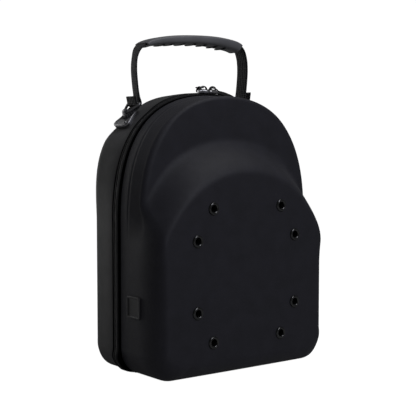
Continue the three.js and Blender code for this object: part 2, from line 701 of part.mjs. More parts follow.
// Slider body, wide where the two chains enter and narrow at its tail, with a bridge for the link
function slider(x, facing) {
  const [wide, narrow] = [SLIDER_WIDTH / 2, SLIDER_TAIL / 2];
  const end = facing * (SLIDER_LENGTH / 2 - SEAT_GAP);
  const plan = new THREE.Shape();
  plan.moveTo(end, -narrow);
  plan.lineTo(end, narrow);
  plan.quadraticCurveTo(-end * SLIDER_CHEEK, wide, -end, wide);
  plan.quadraticCurveTo(-end * SLIDER_NOTCH, 0, -end, -wide);
  plan.quadraticCurveTo(-end * SLIDER_CHEEK, -wide, end, -narrow);
  const tall = { depth: SLIDER_TALL, bevelEnabled: false, curveSegments: 4 };
  const body = new THREE.ExtrudeGeometry(plan, tall);
  body.translate(x, 0, SLIDER_SEAT);
  const frameAt = (t) => {
    const out = new THREE.Vector3(-Math.cos(Math.PI * t), 0, Math.sin(Math.PI * t));
    const seat = new THREE.Vector3(x, 0, SLIDER_SEAT + SLIDER_TALL - BRIDGE_THICK / 2);
    const middle = seat.addScaledVector(out, BRIDGE);
    return { middle, across: new THREE.Vector3(0, 1, 0), out };
  };
  return fuse(body, sweep(frameAt, rectangle(BRIDGE_WIDTH, BRIDGE_THICK), BRIDGE_STEPS));
}

// Tab with an eye round the link, drawn in side view along its own length and dropping to its tip
function pullTab(drop) {
  const hole = LINK_WIRE + TAB_CLEARANCE;
  const eye = new THREE.Shape();
  eye.absarc(0, 0, TAB_EYE_RADIUS, 0, 2 * Math.PI, false);
  const bore = new THREE.Path();
  bore.absarc(0, 0, hole, 0, 2 * Math.PI, true);
  eye.holes.push(bore);
  const strip = new THREE.Shape();
  strip.moveTo(hole + SEAT_GAP, TAB_THICK / 2);
  strip.lineTo(hole + SEAT_GAP, -TAB_THICK / 2);
  strip.lineTo(TAB_LENGTH, -drop - TAB_THICK / 2);
  strip.lineTo(TAB_LENGTH, -drop + TAB_THICK / 2);
  const slab = (shape, width) => {
    const solid = new THREE.ExtrudeGeometry(shape, { depth: width, bevelEnabled: false, curveSegments: 5 });
    return solid.rotateX(Math.PI / 2).translate(0, width / 2, 0);
  };
  return fuse(slab(eye, TAB_EYE), slab(strip, TAB_WIDTH));
}

function makeSliders() {
  for (const { name, side, linkTurn, tabTurn, drop } of PULLS) {
    const x = SLIDER_MIDDLE + (side * SLIDER_LENGTH) / 2;
    const [link, tab] = [linkTurn, tabTurn].map(THREE.MathUtils.degToRad);
    const centre = new THREE.Vector3(x + LINK * Math.cos(link), LINK * Math.sin(link), LINK_Z);
    place(`zip_slider_${name}`, slider(x, side), gunmetal());
    const ring = new THREE.TorusGeometry(LINK, LINK_WIRE, LINK_WIRE_SIDES, LINK_STEPS);
    place(`pull_link_${name}`, ring.translate(centre.x, centre.y, centre.z), gunmetal());
    const grip = pullTab(drop).rotateZ(tab);
    grip.translate(centre.x + LINK * Math.cos(tab), centre.y + LINK * Math.sin(tab), LINK_Z);
    place(`pull_tab_${name}`, grip, rubber());
  }
}

// Square patch with a raised border, flat on the drafted side wall
function makePatch() {
  const lean = Math.atan(FRONT_DRAFT);
  const square = (size) => {
    const shape = new THREE.Shape();
    const h = size / 2;
    shape.moveTo(-h, -h).lineTo(h, -h).lineTo(h, h).lineTo(-h, h);
    return shape;
  };
  const slab = (shape, depth) => new THREE.ExtrudeGeometry(shape, { depth, bevelEnabled: false });
  const frame = square(PATCH_SIZE);
  frame.holes.push(square(PATCH_SIZE - 2 * PATCH_BORDER));
  const patch = fuse(slab(square(PATCH_SIZE), PATCH_THICK), slab(frame, PATCH_THICK + PATCH_RAISE));
  patch.rotateX(Math.PI / 2).rotateZ(-Math.PI / 2);
  patch.rotateZ(lean);
  const inset = RIM_INSET + FRONT_DRAFT * (PATCH_DEPTH - FRONT_RIM);
  patch.translate(-CASE_WIDTH / 2 + inset - SEAT_GAP, -PATCH_DEPTH, PATCH_HEIGHT);
  place('side_patch', patch, rubber());
}

makeShells();
makeEyelets();
makeZip();
makeHandle();
makeAnchors();
makeSliders();
makePatch();

// The origin sits under the middle of the whole, on the surface it stands on
const extent = new THREE.Box3().setFromObject(carrier);
carrier.position.set(0, -(extent.min.y + extent.max.y) / 2, 0);

export default carrier;
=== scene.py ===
"""A moulded clamshell cap carrier, dressed for a studio picture.

Laid out as an add-on: sizes and colours are properties, each piece or group of like
pieces is an operator, and one panel lists them. Every piece is a surface worked out by
formula over a grid of two parameters, in millimetres round the plane where the two
shells meet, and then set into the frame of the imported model.
"""

from types import SimpleNamespace

import bpy
import numpy as np
from bpy.props import FloatProperty, FloatVectorProperty, PointerProperty
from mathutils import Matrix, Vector


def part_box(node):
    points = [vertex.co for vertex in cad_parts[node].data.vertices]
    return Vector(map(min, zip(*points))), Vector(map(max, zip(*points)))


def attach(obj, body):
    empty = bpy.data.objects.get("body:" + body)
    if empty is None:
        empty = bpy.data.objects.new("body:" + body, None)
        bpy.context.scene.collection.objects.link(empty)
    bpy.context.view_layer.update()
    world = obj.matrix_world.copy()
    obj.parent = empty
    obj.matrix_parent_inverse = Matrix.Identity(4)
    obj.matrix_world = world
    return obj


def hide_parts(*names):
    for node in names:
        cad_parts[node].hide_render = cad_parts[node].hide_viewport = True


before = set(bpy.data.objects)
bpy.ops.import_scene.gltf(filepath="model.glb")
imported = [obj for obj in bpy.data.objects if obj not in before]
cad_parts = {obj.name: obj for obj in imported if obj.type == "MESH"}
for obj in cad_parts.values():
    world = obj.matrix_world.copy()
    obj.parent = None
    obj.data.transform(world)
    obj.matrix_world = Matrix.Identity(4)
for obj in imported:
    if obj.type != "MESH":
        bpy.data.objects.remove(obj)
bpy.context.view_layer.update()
MEETING = (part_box("front_shell")[1].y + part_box("back_shell")[0].y) / 2

bl_info = {
    "name": "Cap carrier",
    "version": (1, 0, 0),
    "blender": (4, 5, 0),
    "location": "View3D > Sidebar > Cap carrier",
    "description": "Builds the looks of a moulded clamshell cap carrier",
    "category": "Object",
}

FACE_CENTRE = 110.0       # height of the point that the shells' faces close on
ARCH_FULLNESS = 0.664     # 0.552 would be an ellipse, more is squarer
SEAT = 0.3                # clearance between pieces that rest on each other
RIM_INSET = 0.8           # how far the skin lies inside the band at the rim
RIM_ROLL = 0.7            # radius of the skin's turn into the groove
FRONT_PLUMP = -1.0        # swell of the front skin beside the rim, drawn in where negative
BACK_PLUMP = 1.2          # and of the padded rear skin
PLUMP_RUN = 5.0           # depth over which the skin swells
FRONT_DRAFT = 0.01        # how much the front wall leans in for each millimetre of depth
BACK_DRAFT = 0.06         # and the rear wall
TRAY_LINE = 20.5          # depth of the moulded line along the wall of the arch
TRAY_LINE_PRESS = 0.5     # how deep that line is pressed in
TRAY_LINE_WIDTH = 1.2
TRAY_LEAN = 0.2           # how much that wall leans in beyond the line
TRAY_START = (136, 184)   # heights between which the line and the lean come in
BACK_SWELL = 0.13         # how much the rear shoulders lean out, below the anchors
SWELL_START = (-3, 71)    # heights from the spring of the arch where that comes in
CORNER_LIFT = 3.2         # how much prouder the band stands round the bottom corners
ARCH_RISE = 3.0           # how much higher the rear half stands on top of the arch
RISE_HALF = 6.0           # half the depth of the band that slopes up to it
ZIP_SHARE = 6 / 58        # share of the outline from the middle of the base to the zip's start
ZIP_GAP = 4e-4            # share of the outline left free at each end of the zip and the hinge
SHELL_COLUMNS = 440       # points round the outline of a shell
RIM_STEPS = 420           # points round the outline of the zip
EYELET_HEIGHT = 108.5
EYELET_PAIRS = ((46.5, 70.5), (67.0, 37.5))   # across and up from that height
STRAP_TAIL = ((4.6, 8.0), (3.6, 4.0))         # left tail, out and up from the ring bar
RIGHT_TAIL = ((5.4, 15.0), (4.2, 7.5))
STRAP_LEG = ((-2.9, 6.0), (-1.0, 20.0), (0.5, 40.0), (-0.8, 53.0), (-5.0, 62.8), (-13.0, 68.2))
STRAP_SPANS = 28
STRAP_TWIST = np.radians(-16)   # turn of the left leg about its own length
HANDLE_LEAN = 3.0         # how much higher the right end of the grip sits
GRIP_SAG = 1.2            # how much lower the strap lies half way to the grip's end
GRIP_SPAN = 11.7          # span of the strap where the grip starts
RING_SIDE = ((0, .35), (0, .83), (.11, 1), (.27, .9), (.83, .41))   # shares out and along
RING_DROP = np.radians(40)      # how far the rings hang below level
ANCHOR_EDGES = (93.0, 73.0)     # lower and upper edge of an anchor, from the middle of the case
RIVET_UP = 0.18           # share of the anchor's length where the rivets sit
RIVET_APART = 7.5         # each rivet from the anchor's middle line
SLIDER_SHIFT = 2.8        # how far right of the middle the sliders meet
PATCH_DEPTH = 31.5        # middle of the side patch, from the meeting plane
PATCH_HEIGHT = 76.5


# Sizes and colours that a user would change

def size(words, millimetres):
    """A length property, kept in metres and given here in millimetres."""
    return FloatProperty(name=words, description=f"{words}, at the size of the real case",
                         default=millimetres / 1000, min=0, unit="LENGTH", subtype="DISTANCE", precision=4)


def tint(words, colour):
    """A colour property in linear light."""
    return FloatVectorProperty(name=words, description=f"Base colour of the {words.lower()}",
                               default=colour, min=0, max=1, size=3, subtype="COLOR")


def amount(words, value, most):
    """A plain number property from 0 to a largest value."""
    return FloatProperty(name=words, description=words, default=value, min=0, max=most)


class CaseSizes(bpy.types.PropertyGroup):
    """Sizes of the two shells."""
    width: size("Case width", 238)
    height: size("Case height", 300)
    arch_spring: size("Height where the arch springs", 167)
    base_corner: size("Base corner radius", 29)
    wall: size("Wall thickness", 4)
    tray_depth: size("Upper tray depth at its edge", 42.8)
    tray_crown: size("Swell of the upper tray", 0.6)
    tray_radius: size("Tray edge radius", 7)
    tray_top_radius: size("Tray edge radius on top of the arch", 4)
    bulge_depth: size("Bulge depth", 75.5)
    side_across: size("Side rounding across the bulge's face", 14)
    side_deep: size("Side rounding along the wall", 36)
    base_round: size("Rounding along the base", 20)
    bulge_centre: size("Height of the bulge centre", 100)
    bulge_foot: size("Radius of the bulge foot at its top", 152)
    bulge_side: size("Radius of the bulge foot at its shoulders", 141)
    bulge_skirt: size("Radius of the bulge foot at its sides", 150)
    bulge_top: size("Radius of the full bulge", 114.5)
    back_depth: size("Back depth", 52)
    back_radius: size("Back edge radius", 13)
    front_rim: size("Depth of the front rim", 8.4)
    back_rim: size("Depth of the back rim", 7.2)
    eyelet_flange: size("Eyelet collar radius", 6.6)
    eyelet_bore: size("Eyelet bore radius", 3.6)
    patch: size("Side patch", 23)


class ZipSizes(bpy.types.PropertyGroup):
    """Sizes of the zip, its sliders and pulls."""
    band_thick: size("Band thickness", 2.1)
    front_edge: size("Front edge of the tape", 3.75)
    back_edge: size("Back edge of the tape", 4.95)
    coil_middle: size("Coil behind the meeting plane", 0.6)
    coil_half: size("Half width of the coil", 1.5)
    hinge_half: size("Half width of the cloth hinge", 6.2)
    tooth_pitch: size("Tooth pitch", 2.2)
    slider_length: size("Slider length", 13)
    slider_width: size("Slider width", 8.6)
    slider_tall: size("Slider height", 4.6)
    link_radius: size("Link radius", 4.2)
    link_wire: size("Link wire radius", 0.65)
    tab_length: size("Pull tab length", 27)
    tab_width: size("Pull tab width", 5.6)
    tab_thick: size("Pull tab thickness", 2.4)


class HandleSizes(bpy.types.PropertyGroup):
    """Sizes of the strap, the grip, the rings and the anchors."""
    middle: size("Handle behind the meeting plane", 28)
    leg: size("Leg from the middle", 76)
    bar_height: size("Height of the ring bars", 290)
    grip_height: size("Height of the grip", 363.4)
    strap_width: size("Strap width", 18.5)
    strap_thick: size("Strap thickness", 2)
    grip_width: size("Grip width", 26)
    grip_thick: size("Grip thickness", 9.4)
    grip_end: size("Grip thickness at its ends", 3.6)
    grip_droop: size("Droop of the grip's right end", 4.2)
    wire: size("Ring wire radius", 1.5)
    ring_reach: size("Ring reach", 15)
    ring_half: size("Half length of the ring bar", 11.5)
    anchor_width: size("Anchor plate width", 28)


class Finishes(bpy.types.PropertyGroup):
    """Colours of the cloth, the rubber and the metal."""
    cloth: tint("Shell cloth", (0.0172, 0.0168, 0.0232))
    # The rear cloth is lighter than the front cloth partly for a different rear fabric and partly as
    # painted light, brightening the rear side beyond what the lamps give
    rear: tint("Rear cloth", (0.053, 0.053, 0.0535))
    tape: tint("Zip tape", (0.0135, 0.0135, 0.0142))
    # Near-black binding in the zip's grooves: partly a real dark binding, partly painted shade standing in
    # for the shadow in the grooves
    binding: tint("Zip binding", (0.0022, 0.0022, 0.0024))
    coil: tint("Zip coil", (0.018, 0.018, 0.019))
    webbing: tint("Webbing", (0.0205, 0.0205, 0.0218))
    grip: tint("Grip rubber", (0.155, 0.155, 0.162))
    # The ribs' near-black colour is painted shade: it stands for the shade between the ribs under the grip
    ribs: tint("Rib rubber", (0.004, 0.004, 0.0042))
    gunmetal: tint("Gunmetal", (0.27, 0.27, 0.278))
    nickel: tint("Slider nickel", (0.62, 0.62, 0.635))
    dark_nickel: tint("Dark nickel", (0.09, 0.09, 0.092))
    enamel: tint("Eyelet enamel", (0.006, 0.006, 0.0062))
    pull: tint("Pull rubber", (0.006, 0.006, 0.006))
    patch: tint("Patch rubber", (0.030, 0.030, 0.0312))
    weave: size("Cloth weave pitch", 1.1)


class Studio(bpy.types.PropertyGroup):
    """Camera, light and floor."""
    distance: size("Camera distance", 1173)
    aim_right: size("Aim point to the right", 3.82)
    aim_height: size("Aim point height", 173.5)
    azimuth: FloatProperty(name="Azimuth", description="Turn of the camera round the case",
                           default=np.radians(-37.46), subtype="ANGLE", unit="ROTATION")
    elevation: FloatProperty(name="Elevation", description="Camera above the horizon",
                             default=np.radians(3.97), subtype="ANGLE", unit="ROTATION")
    lens: FloatProperty(name="Lens", description="Focal length on a 36 mm sensor", default=90.02,
                        min=10, subtype="DISTANCE_CAMERA")
    side_light: amount("Power of the rear left strip light in watts", 1.3, 1000)
    top_light: amount("Power of the top softbox in watts", 2.7, 1000)
    fill_light: amount("Power of the front softbox in watts", 10.0, 1000)
    room_light: amount("Light of the room on the case", 0.05, 2)
    backdrop: amount("White of the backdrop in the picture", 1.0, 2)


def millimetres(group):
    """The lengths of a property group as plain numbers in millimetres."""
    names = [p.identifier for p in group.bl_rna.properties if p.type == "FLOAT" and p.unit == "LENGTH"]
    return SimpleNamespace(**{name: 1000 * getattr(group, name) for name in names})


# Grids of points and the meshes made from them

def mix(a, b, share):
    """Straight run from a to b."""
    return a + (b - a) * share


def ease(value, low, high):
    """0 below low, 1 above high, and a smooth S between."""
    share = np.clip((value - low) / (high - low), 0, 1)
    return share * share * (3 - 2 * share)


def unit(vectors):
    """The vectors at length 1."""
    return vectors / np.linalg.norm(vectors, axis=-1, keepdims=True)


def laid_flat(points, loop):
    """Coordinates for the weave: millimetres run along the rows and the columns."""
    points = np.concatenate([points, points[:, :1]], axis=1)
    if loop:
        points = np.concatenate([points, points[:1]], axis=0)
    across = np.linalg.norm(np.diff(points, axis=1), axis=2).max(axis=0)
    down = np.linalg.norm(np.diff(points, axis=0), axis=2).max(axis=1)
    u, v = np.meshgrid(np.append(0, across.cumsum()), np.append(0, down.cumsum()))
    return np.stack([u, v], axis=2)


def skin_of(points, loop=False, poles=(True, True), flat=None):
    """Faces over a grid of points. The last column joins the first, and loop joins the last
    row to the first. A pole row is one point, closed by a fan. Faces are turned outward by
    the sign of the volume they close."""
    rows, columns = points.shape[:2]
    flat = laid_flat(points, loop) if flat is None else flat
    ids = np.arange(rows * columns).reshape(rows, columns)
    for row, pole in zip((0, -1), poles):
        if pole and not loop:
            ids[row] = ids[row, 0]
    ids = np.concatenate([ids, ids[:, :1]], axis=1)
    if loop:
        ids = np.concatenate([ids, ids[:1]], axis=0)
    corners = [(slice(None, -1), slice(None, -1)), (slice(1, None), slice(None, -1)),
               (slice(1, None), slice(1, None)), (slice(None, -1), slice(1, None))]
    quads = np.stack([ids[c] for c in corners], axis=2)
    cloth = np.stack([flat[c] for c in corners], axis=2)
    fans, fan_cloth = [], []
    if poles[0] and not loop:
        fans.append(quads[0][:, [0, 1, 2]])
        fan_cloth.append(cloth[0][:, [0, 1, 2]])
        quads, cloth = quads[1:], cloth[1:]
    if poles[1] and not loop:
        fans.append(quads[-1][:, [0, 1, 3]])
        fan_cloth.append(cloth[-1][:, [0, 1, 3]])
        quads, cloth = quads[:-1], cloth[:-1]
    quads = quads.reshape(-1, 4)
    fans = np.concatenate(fans) if fans else np.zeros((0, 3), int)
    fan_cloth = np.concatenate(fan_cloth) if fan_cloth else np.zeros((0, 3, 2))
    skin = SimpleNamespace(points=points.reshape(-1, 3), quads=quads, fans=fans,
                           cloth=cloth.reshape(-1, 4, 2), fan_cloth=fan_cloth)
    return outward(skin)


def outward(skin):
    """Turns every face over if the skin closes a negative volume."""
    p = skin.points - skin.points.mean(axis=0)
    faces = np.concatenate([skin.quads[:, [0, 1, 2]], skin.quads[:, [0, 2, 3]], skin.fans])
    a, b, c = p[faces[:, 0]], p[faces[:, 1]], p[faces[:, 2]]
    if (a * np.cross(b, c)).sum() < 0:
        skin.quads, skin.fans = skin.quads[:, ::-1], skin.fans[:, ::-1]
        skin.cloth, skin.fan_cloth = skin.cloth[:, ::-1], skin.fan_cloth[:, ::-1]
    return skin


def copies(skin, middles, axes):
    """The skin repeated: each copy has its own middle and its own three axes."""
    count, many = len(skin.points), len(middles)
    points = np.einsum("pk,nkx->npx", skin.points, axes) + middles[:, None]
    shift = count * np.arange(many)[:, None, None]
    return SimpleNamespace(
        points=points.reshape(-1, 3),
        quads=(skin.quads + shift).reshape(-1, 4), fans=(skin.fans + shift).reshape(-1, 3),
        cloth=np.tile(skin.cloth, (many, 1, 1)), fan_cloth=np.tile(skin.fan_cloth, (many, 1, 1)))


def make_piece(name, skins, finishes, nodes, crease=40):
    """One mesh from several skins, each with its own finish, set into the frame."""
    mesh = bpy.data.meshes.new(name)
    starts = np.append(0, np.cumsum([len(s.points) for s in skins]))
    points = np.concatenate([s.points for s in skins]) / 1000 + [0, MEETING, 0]
    loops, cloth, counts, paint = [], [], [], []
    for index, (skin, start) in enumerate(zip(skins, starts)):
        for faces, flat in ((skin.quads, skin.cloth), (skin.fans, skin.fan_cloth)):
            loops.append((faces + start).ravel())
            cloth.append(flat.reshape(-1, 2))
            counts.append(np.full(len(faces), faces.shape[1]))
            paint.append(np.full(len(faces), min(index, len(finishes) - 1)))
    loops, counts = np.concatenate(loops), np.concatenate(counts)
    used, loops = np.unique(loops, return_inverse=True)
    mesh.vertices.add(len(used))
    mesh.vertices.foreach_set("co", points[used].ravel())
    mesh.loops.add(len(loops))
    mesh.loops.foreach_set("vertex_index", loops.astype(np.int32))
    mesh.polygons.add(len(counts))
    mesh.polygons.foreach_set("loop_start", (np.cumsum(counts) - counts).astype(np.int32))
    mesh.polygons.foreach_set("material_index", np.concatenate(paint).astype(np.int32))
    mesh.update(calc_edges=True)
    mesh.uv_layers.new(name="cloth").data.foreach_set("uv", np.concatenate(cloth).ravel())
    mesh.shade_smooth()
    mesh.set_sharp_from_angle(angle=np.radians(crease))
    if mesh.validate():
        raise RuntimeError(f"{name} has faces that don't hold together")
    piece = bpy.data.objects.new(name, mesh)
    bpy.context.scene.collection.objects.link(piece)
    for finish in finishes:
        mesh.materials.append(finish)
    if nodes:
        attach(piece, "root")
        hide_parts(*nodes)
    return piece


def rounded(width, height, corner, steps=5):
    """Corner points of a rectangle with round corners, anticlockwise, round its own middle."""
    turn = np.radians(np.linspace(0, 90, steps))
    arc = corner * np.stack([np.cos(turn), np.sin(turn)], axis=1)
    a, b = width / 2 - corner, height / 2 - corner
    quarter = [np.array([[0, -1], [1, 0]]), np.array([[-1, 0], [0, -1]]), np.array([[0, 1], [-1, 0]])]
    middles = ((a, b), (-a, b), (-a, -b), (a, -b))
    turns = (np.eye(2), *quarter)
    return np.concatenate([middle + arc @ turn.T for middle, turn in zip(middles, turns)])


def disc(radius, sides):
    """Points round a circle, as the section of a wire or a pin."""
    turn = 2 * np.pi * np.arange(sides) / sides
    return radius * np.stack([np.cos(turn), np.sin(turn)], axis=1)


def carried(middle, across, out, section, dome=0.0):
    """A section carried along a path. Row i is middle[i] + p across[i] + q out[i] for each
    corner (p, q) of the section. The ends close on the path, and a dome rounds them."""
    section = np.broadcast_to(section, (len(middle), *section.shape[-2:]))
    rows = middle[:, None] + section[..., :1] * across[:, None] + section[..., 1:] * out[:, None]
    ends = []
    for end, inner in ((0, 1), (-1, -2)):
        away = dome * unit(middle[end] - middle[inner])
        scale = np.array([0.0, 0.5, 0.8, 0.95])[:, None, None] if dome else np.zeros((1, 1, 1))
        shift = np.sqrt(1 - scale ** 2) * away
        ends.append(middle[end] + (rows[end] - middle[end]) * scale + shift)
    return np.concatenate([ends[0], rows, ends[1][::-1]])


def smooth_curve(points, count, closed=False):
    """Centripetal Catmull-Rom curve through the points, at even steps of its parameter.
    Each span is a cubic whose end slopes come from the square roots of the chords."""
    points = np.asarray(points, float)
    n = len(points)
    if closed:
        t = n * np.arange(count) / count
        padded = np.concatenate([points[-1:], points, points[:2]])
    else:
        t = (n - 1) * np.linspace(0, 1, count)
        first, last = 2 * points[0] - points[1], 2 * points[-1] - points[-2]
        padded = np.concatenate([[first], points, [last]])
    span = np.minimum(t.astype(int), n - 1 if closed else n - 2)
    w = (t - span)[:, None]
    p0, p1, p2, p3 = (padded[span + k] for k in range(4))
    chords = (p1 - p0, p2 - p1, p3 - p2)
    d0, d1, d2 = (np.sqrt(np.linalg.norm(chord, axis=1))[:, None] for chord in chords)
    s1 = d1 * ((p1 - p0) / d0 - (p2 - p0) / (d0 + d1) + (p2 - p1) / d1)
    s2 = d1 * ((p2 - p1) / d1 - (p3 - p1) / (d1 + d2) + (p3 - p2) / d2)
    return p1 + s1 * w + (3 * (p2 - p1) - 2 * s1 - s2) * w ** 2 + (2 * (p1 - p2) + s1 + s2) * w ** 3


def slope(path, closed=False):
    """Unit direction of travel at each point of a path."""
    if closed:
        return unit(np.roll(path, -1, axis=0) - np.roll(path, 1, axis=0))
    return unit(np.gradient(path, axis=0))


# The case outline and the depth of its faces

def outline_at(case, share):
    """Points and outward normals at shares of the outline seen from the front: a straight
    base, round corners, upright sides and an arch of two cubic curves, in X and Z."""
    half, corner = case.width / 2, case.base_corner
    t = np.linspace(0, 1, 800)[:, None]
    turn = np.pi / 2 * (t - 1)
    arc = [half - corner, corner] + corner * np.hstack([np.cos(turn), np.sin(turn)])
    reach = mix(case.arch_spring, case.height, ARCH_FULLNESS)
    a, b, c, d = np.array([[half, case.arch_spring], [half, reach],
                           [ARCH_FULLNESS * half, case.height], [0, case.height]])
    arch = a * (1 - t) ** 3 + 3 * b * t * (1 - t) ** 2 + 3 * c * t ** 2 * (1 - t) + d * t ** 3
    right = np.concatenate([[[0.0, 0.0]], arc, arch])
    line = np.concatenate([right, right[-2::-1] * [-1, 1]])
    length = np.append(0, np.linalg.norm(np.diff(line, axis=0), axis=1).cumsum())

    def place(s):
        s = (s % 1) * length[-1]
        return np.stack([np.interp(s, length, line[:, 0]), np.interp(s, length, line[:, 1])], axis=-1)

    share = np.asarray(share, float)
    along = unit(place(share + 4e-4) - place(share - 4e-4))
    normal = np.stack([along[..., 1], -along[..., 0]], axis=-1)
    return SimpleNamespace(point=place(share), normal=normal, length=length[-1])


def front_depth(case):
    """Depth of the front face: the upper tray with its crown, and the bulge that rises out
    of it inside a circle, flattened downward from the circle's middle."""
    def depth(x, z):
        spread = (2 * x / case.width) ** 2
        above = np.maximum(z - case.bulge_centre, 0)
        radius = np.maximum(np.hypot(x, above), 1)
        climb = above / radius
        foot = mix(case.bulge_skirt, case.bulge_side, ease(climb, 0, 0.4))
        foot = mix(foot, case.bulge_foot, ease(climb, 0.6, 0.95))
        risen = 1 - ease(radius, case.bulge_top, foot)
        tray = case.tray_depth + case.tray_crown * (1 - spread)
        return mix(tray, case.bulge_depth - spread, risen)
    return depth


def back_depth(case):
    """Depth of the back face, bowed a little from side to side."""
    return lambda x, z: case.back_depth - 2 * (2 * x / case.width) ** 2


def arch_rise(where):
    """How far the rear half stands above the outline, only on top of the arch."""
    return ARCH_RISE * ease(where.normal[..., 1], 0.8, 1)


def rear_swell(case, where):
    """Share of the rear shoulders' lean, from the sides up to the anchors."""
    low, high = (case.arch_spring + start for start in SWELL_START)
    return ease(where.point[..., 1], low, high) * (1 - ease(where.normal[..., 1], 0.42, 0.74))


def plump(beyond):
    """Share of the padded skin's swell at a depth beyond the rim."""
    return 1 - np.exp(-np.maximum(beyond, 0) / PLUMP_RUN)


def shell_skin(case, thick, side, depth, rounding, draft, rim, crease, outset=None, face_rows=64):
    """One hollow shell. Columns run round the outline. Rows run from the middle of the face
    over the rounded edge, a quarter of an ellipse, down the leaning wall to the rim and the
    seat of the zip, and back up the inside. A point is the outline drawn in towards the
    centre by its inset, at its depth."""
    columns = SHELL_COLUMNS
    where = outline_at(case, np.arange(columns) / columns)
    across, deep = rounding(where)
    draft = draft(where)
    if outset:
        where.point = where.point + where.normal * outset(where)[:, None]
    arm = where.point - [0, FACE_CENTRE]
    reach = (arm * where.normal).sum(axis=1)
    lean = 1 - ease(-where.normal[:, 1], 0.3, 0.95)

    def spot(inset):
        return arm * (1 - inset / reach)[..., None]

    def depth_in(inset):
        p = spot(inset)
        return depth(p[..., 0], p[..., 1] + FACE_CENTRE)

    def steep(inset):
        p, h = spot(inset), 0.5
        x, z = p[..., 0], p[..., 1] + FACE_CENTRE
        dx = (depth(x + h, z) - depth(x - h, z)) / (2 * h)
        dz = (depth(x, z + h) - depth(x, z - h)) / (2 * h)
        return np.minimum(np.sqrt(1 + dx ** 2 + dz ** 2), 2)

    def skin(d):
        swell = (BACK_PLUMP if side > 0 else FRONT_PLUMP) * plump(d - rim)
        return lean * (RIM_INSET + draft * np.maximum(d - rim, 0) - swell) + crease(where, d)

    # The inset where the rounded edge meets the wall, settled by a few rounds
    shoulder = skin(depth_in(across) - deep)
    for _ in range(8):
        shoulder = skin(depth_in(shoulder) - deep)
    end = 1 - (shoulder + across) / reach
    seat = thick + 1.5 * SEAT
    insets, depths = [], []

    def rows(inset, d):
        shape = (np.broadcast(inset, d, reach[None]).shape[0], columns)
        insets.append(np.broadcast_to(inset, shape))
        depths.append(np.broadcast_to(d, shape))

    face = reach * (1 - np.linspace(0, 1, face_rows)[:-1, None] * end)
    rows(face, depth_in(face))
    angle = np.radians(np.linspace(0, 90, 15))[:, None]
    edge = shoulder + across * (1 - np.sin(angle))
    rows(edge, depth_in(edge) - deep * (1 - np.cos(angle)))
    wall = mix(depth_in(shoulder) - deep, rim, np.linspace(0, 1, 44)[1:, None])
    rows(skin(wall), wall)
    roll = np.radians([25, 50, 70, 90])[:, None]
    rows(skin(rim + 0 * reach) + RIM_ROLL * (1 - np.cos(roll)), rim - RIM_ROLL * np.sin(roll))
    rows(np.array([[seat], [seat], [seat + case.wall]]), np.array([[rim - RIM_ROLL], [SEAT], [SEAT]]))
    rows(skin(rim + 0 * reach)[None] + seat + case.wall - RIM_INSET, np.array([[rim]]))
    angle = np.radians([90, 70, 50, 25, 0])[:, None]
    edge = shoulder + case.wall + (across - case.wall) * (1 - np.sin(angle))
    lining = case.wall * mix(1, steep(edge), np.cos(angle))
    rows(edge, depth_in(edge) - (deep - case.wall) * (1 - np.cos(angle)) - lining)
    face = reach * (1 - np.linspace(1, 0, 18)[1:, None] * end)
    rows(face, depth_in(face) - case.wall * steep(face))

    inset, d = np.concatenate(insets), np.concatenate(depths)
    p = spot(inset)
    points = np.stack([p[..., 0], side * d, p[..., 1] + FACE_CENTRE], axis=-1)
    run = np.append(np.zeros((1, columns)), np.linalg.norm(np.diff(points, axis=0), axis=2), axis=0)
    run[:face_rows] = 0
    flat = points[..., [0, 2]].copy()
    flat[face_rows:] = flat[face_rows - 1] + where.normal * run.cumsum(axis=0)[face_rows:, :, None]
    flat = np.concatenate([flat, flat[:, :1]], axis=1)
    return skin_of(points, flat=flat)


# Finishes

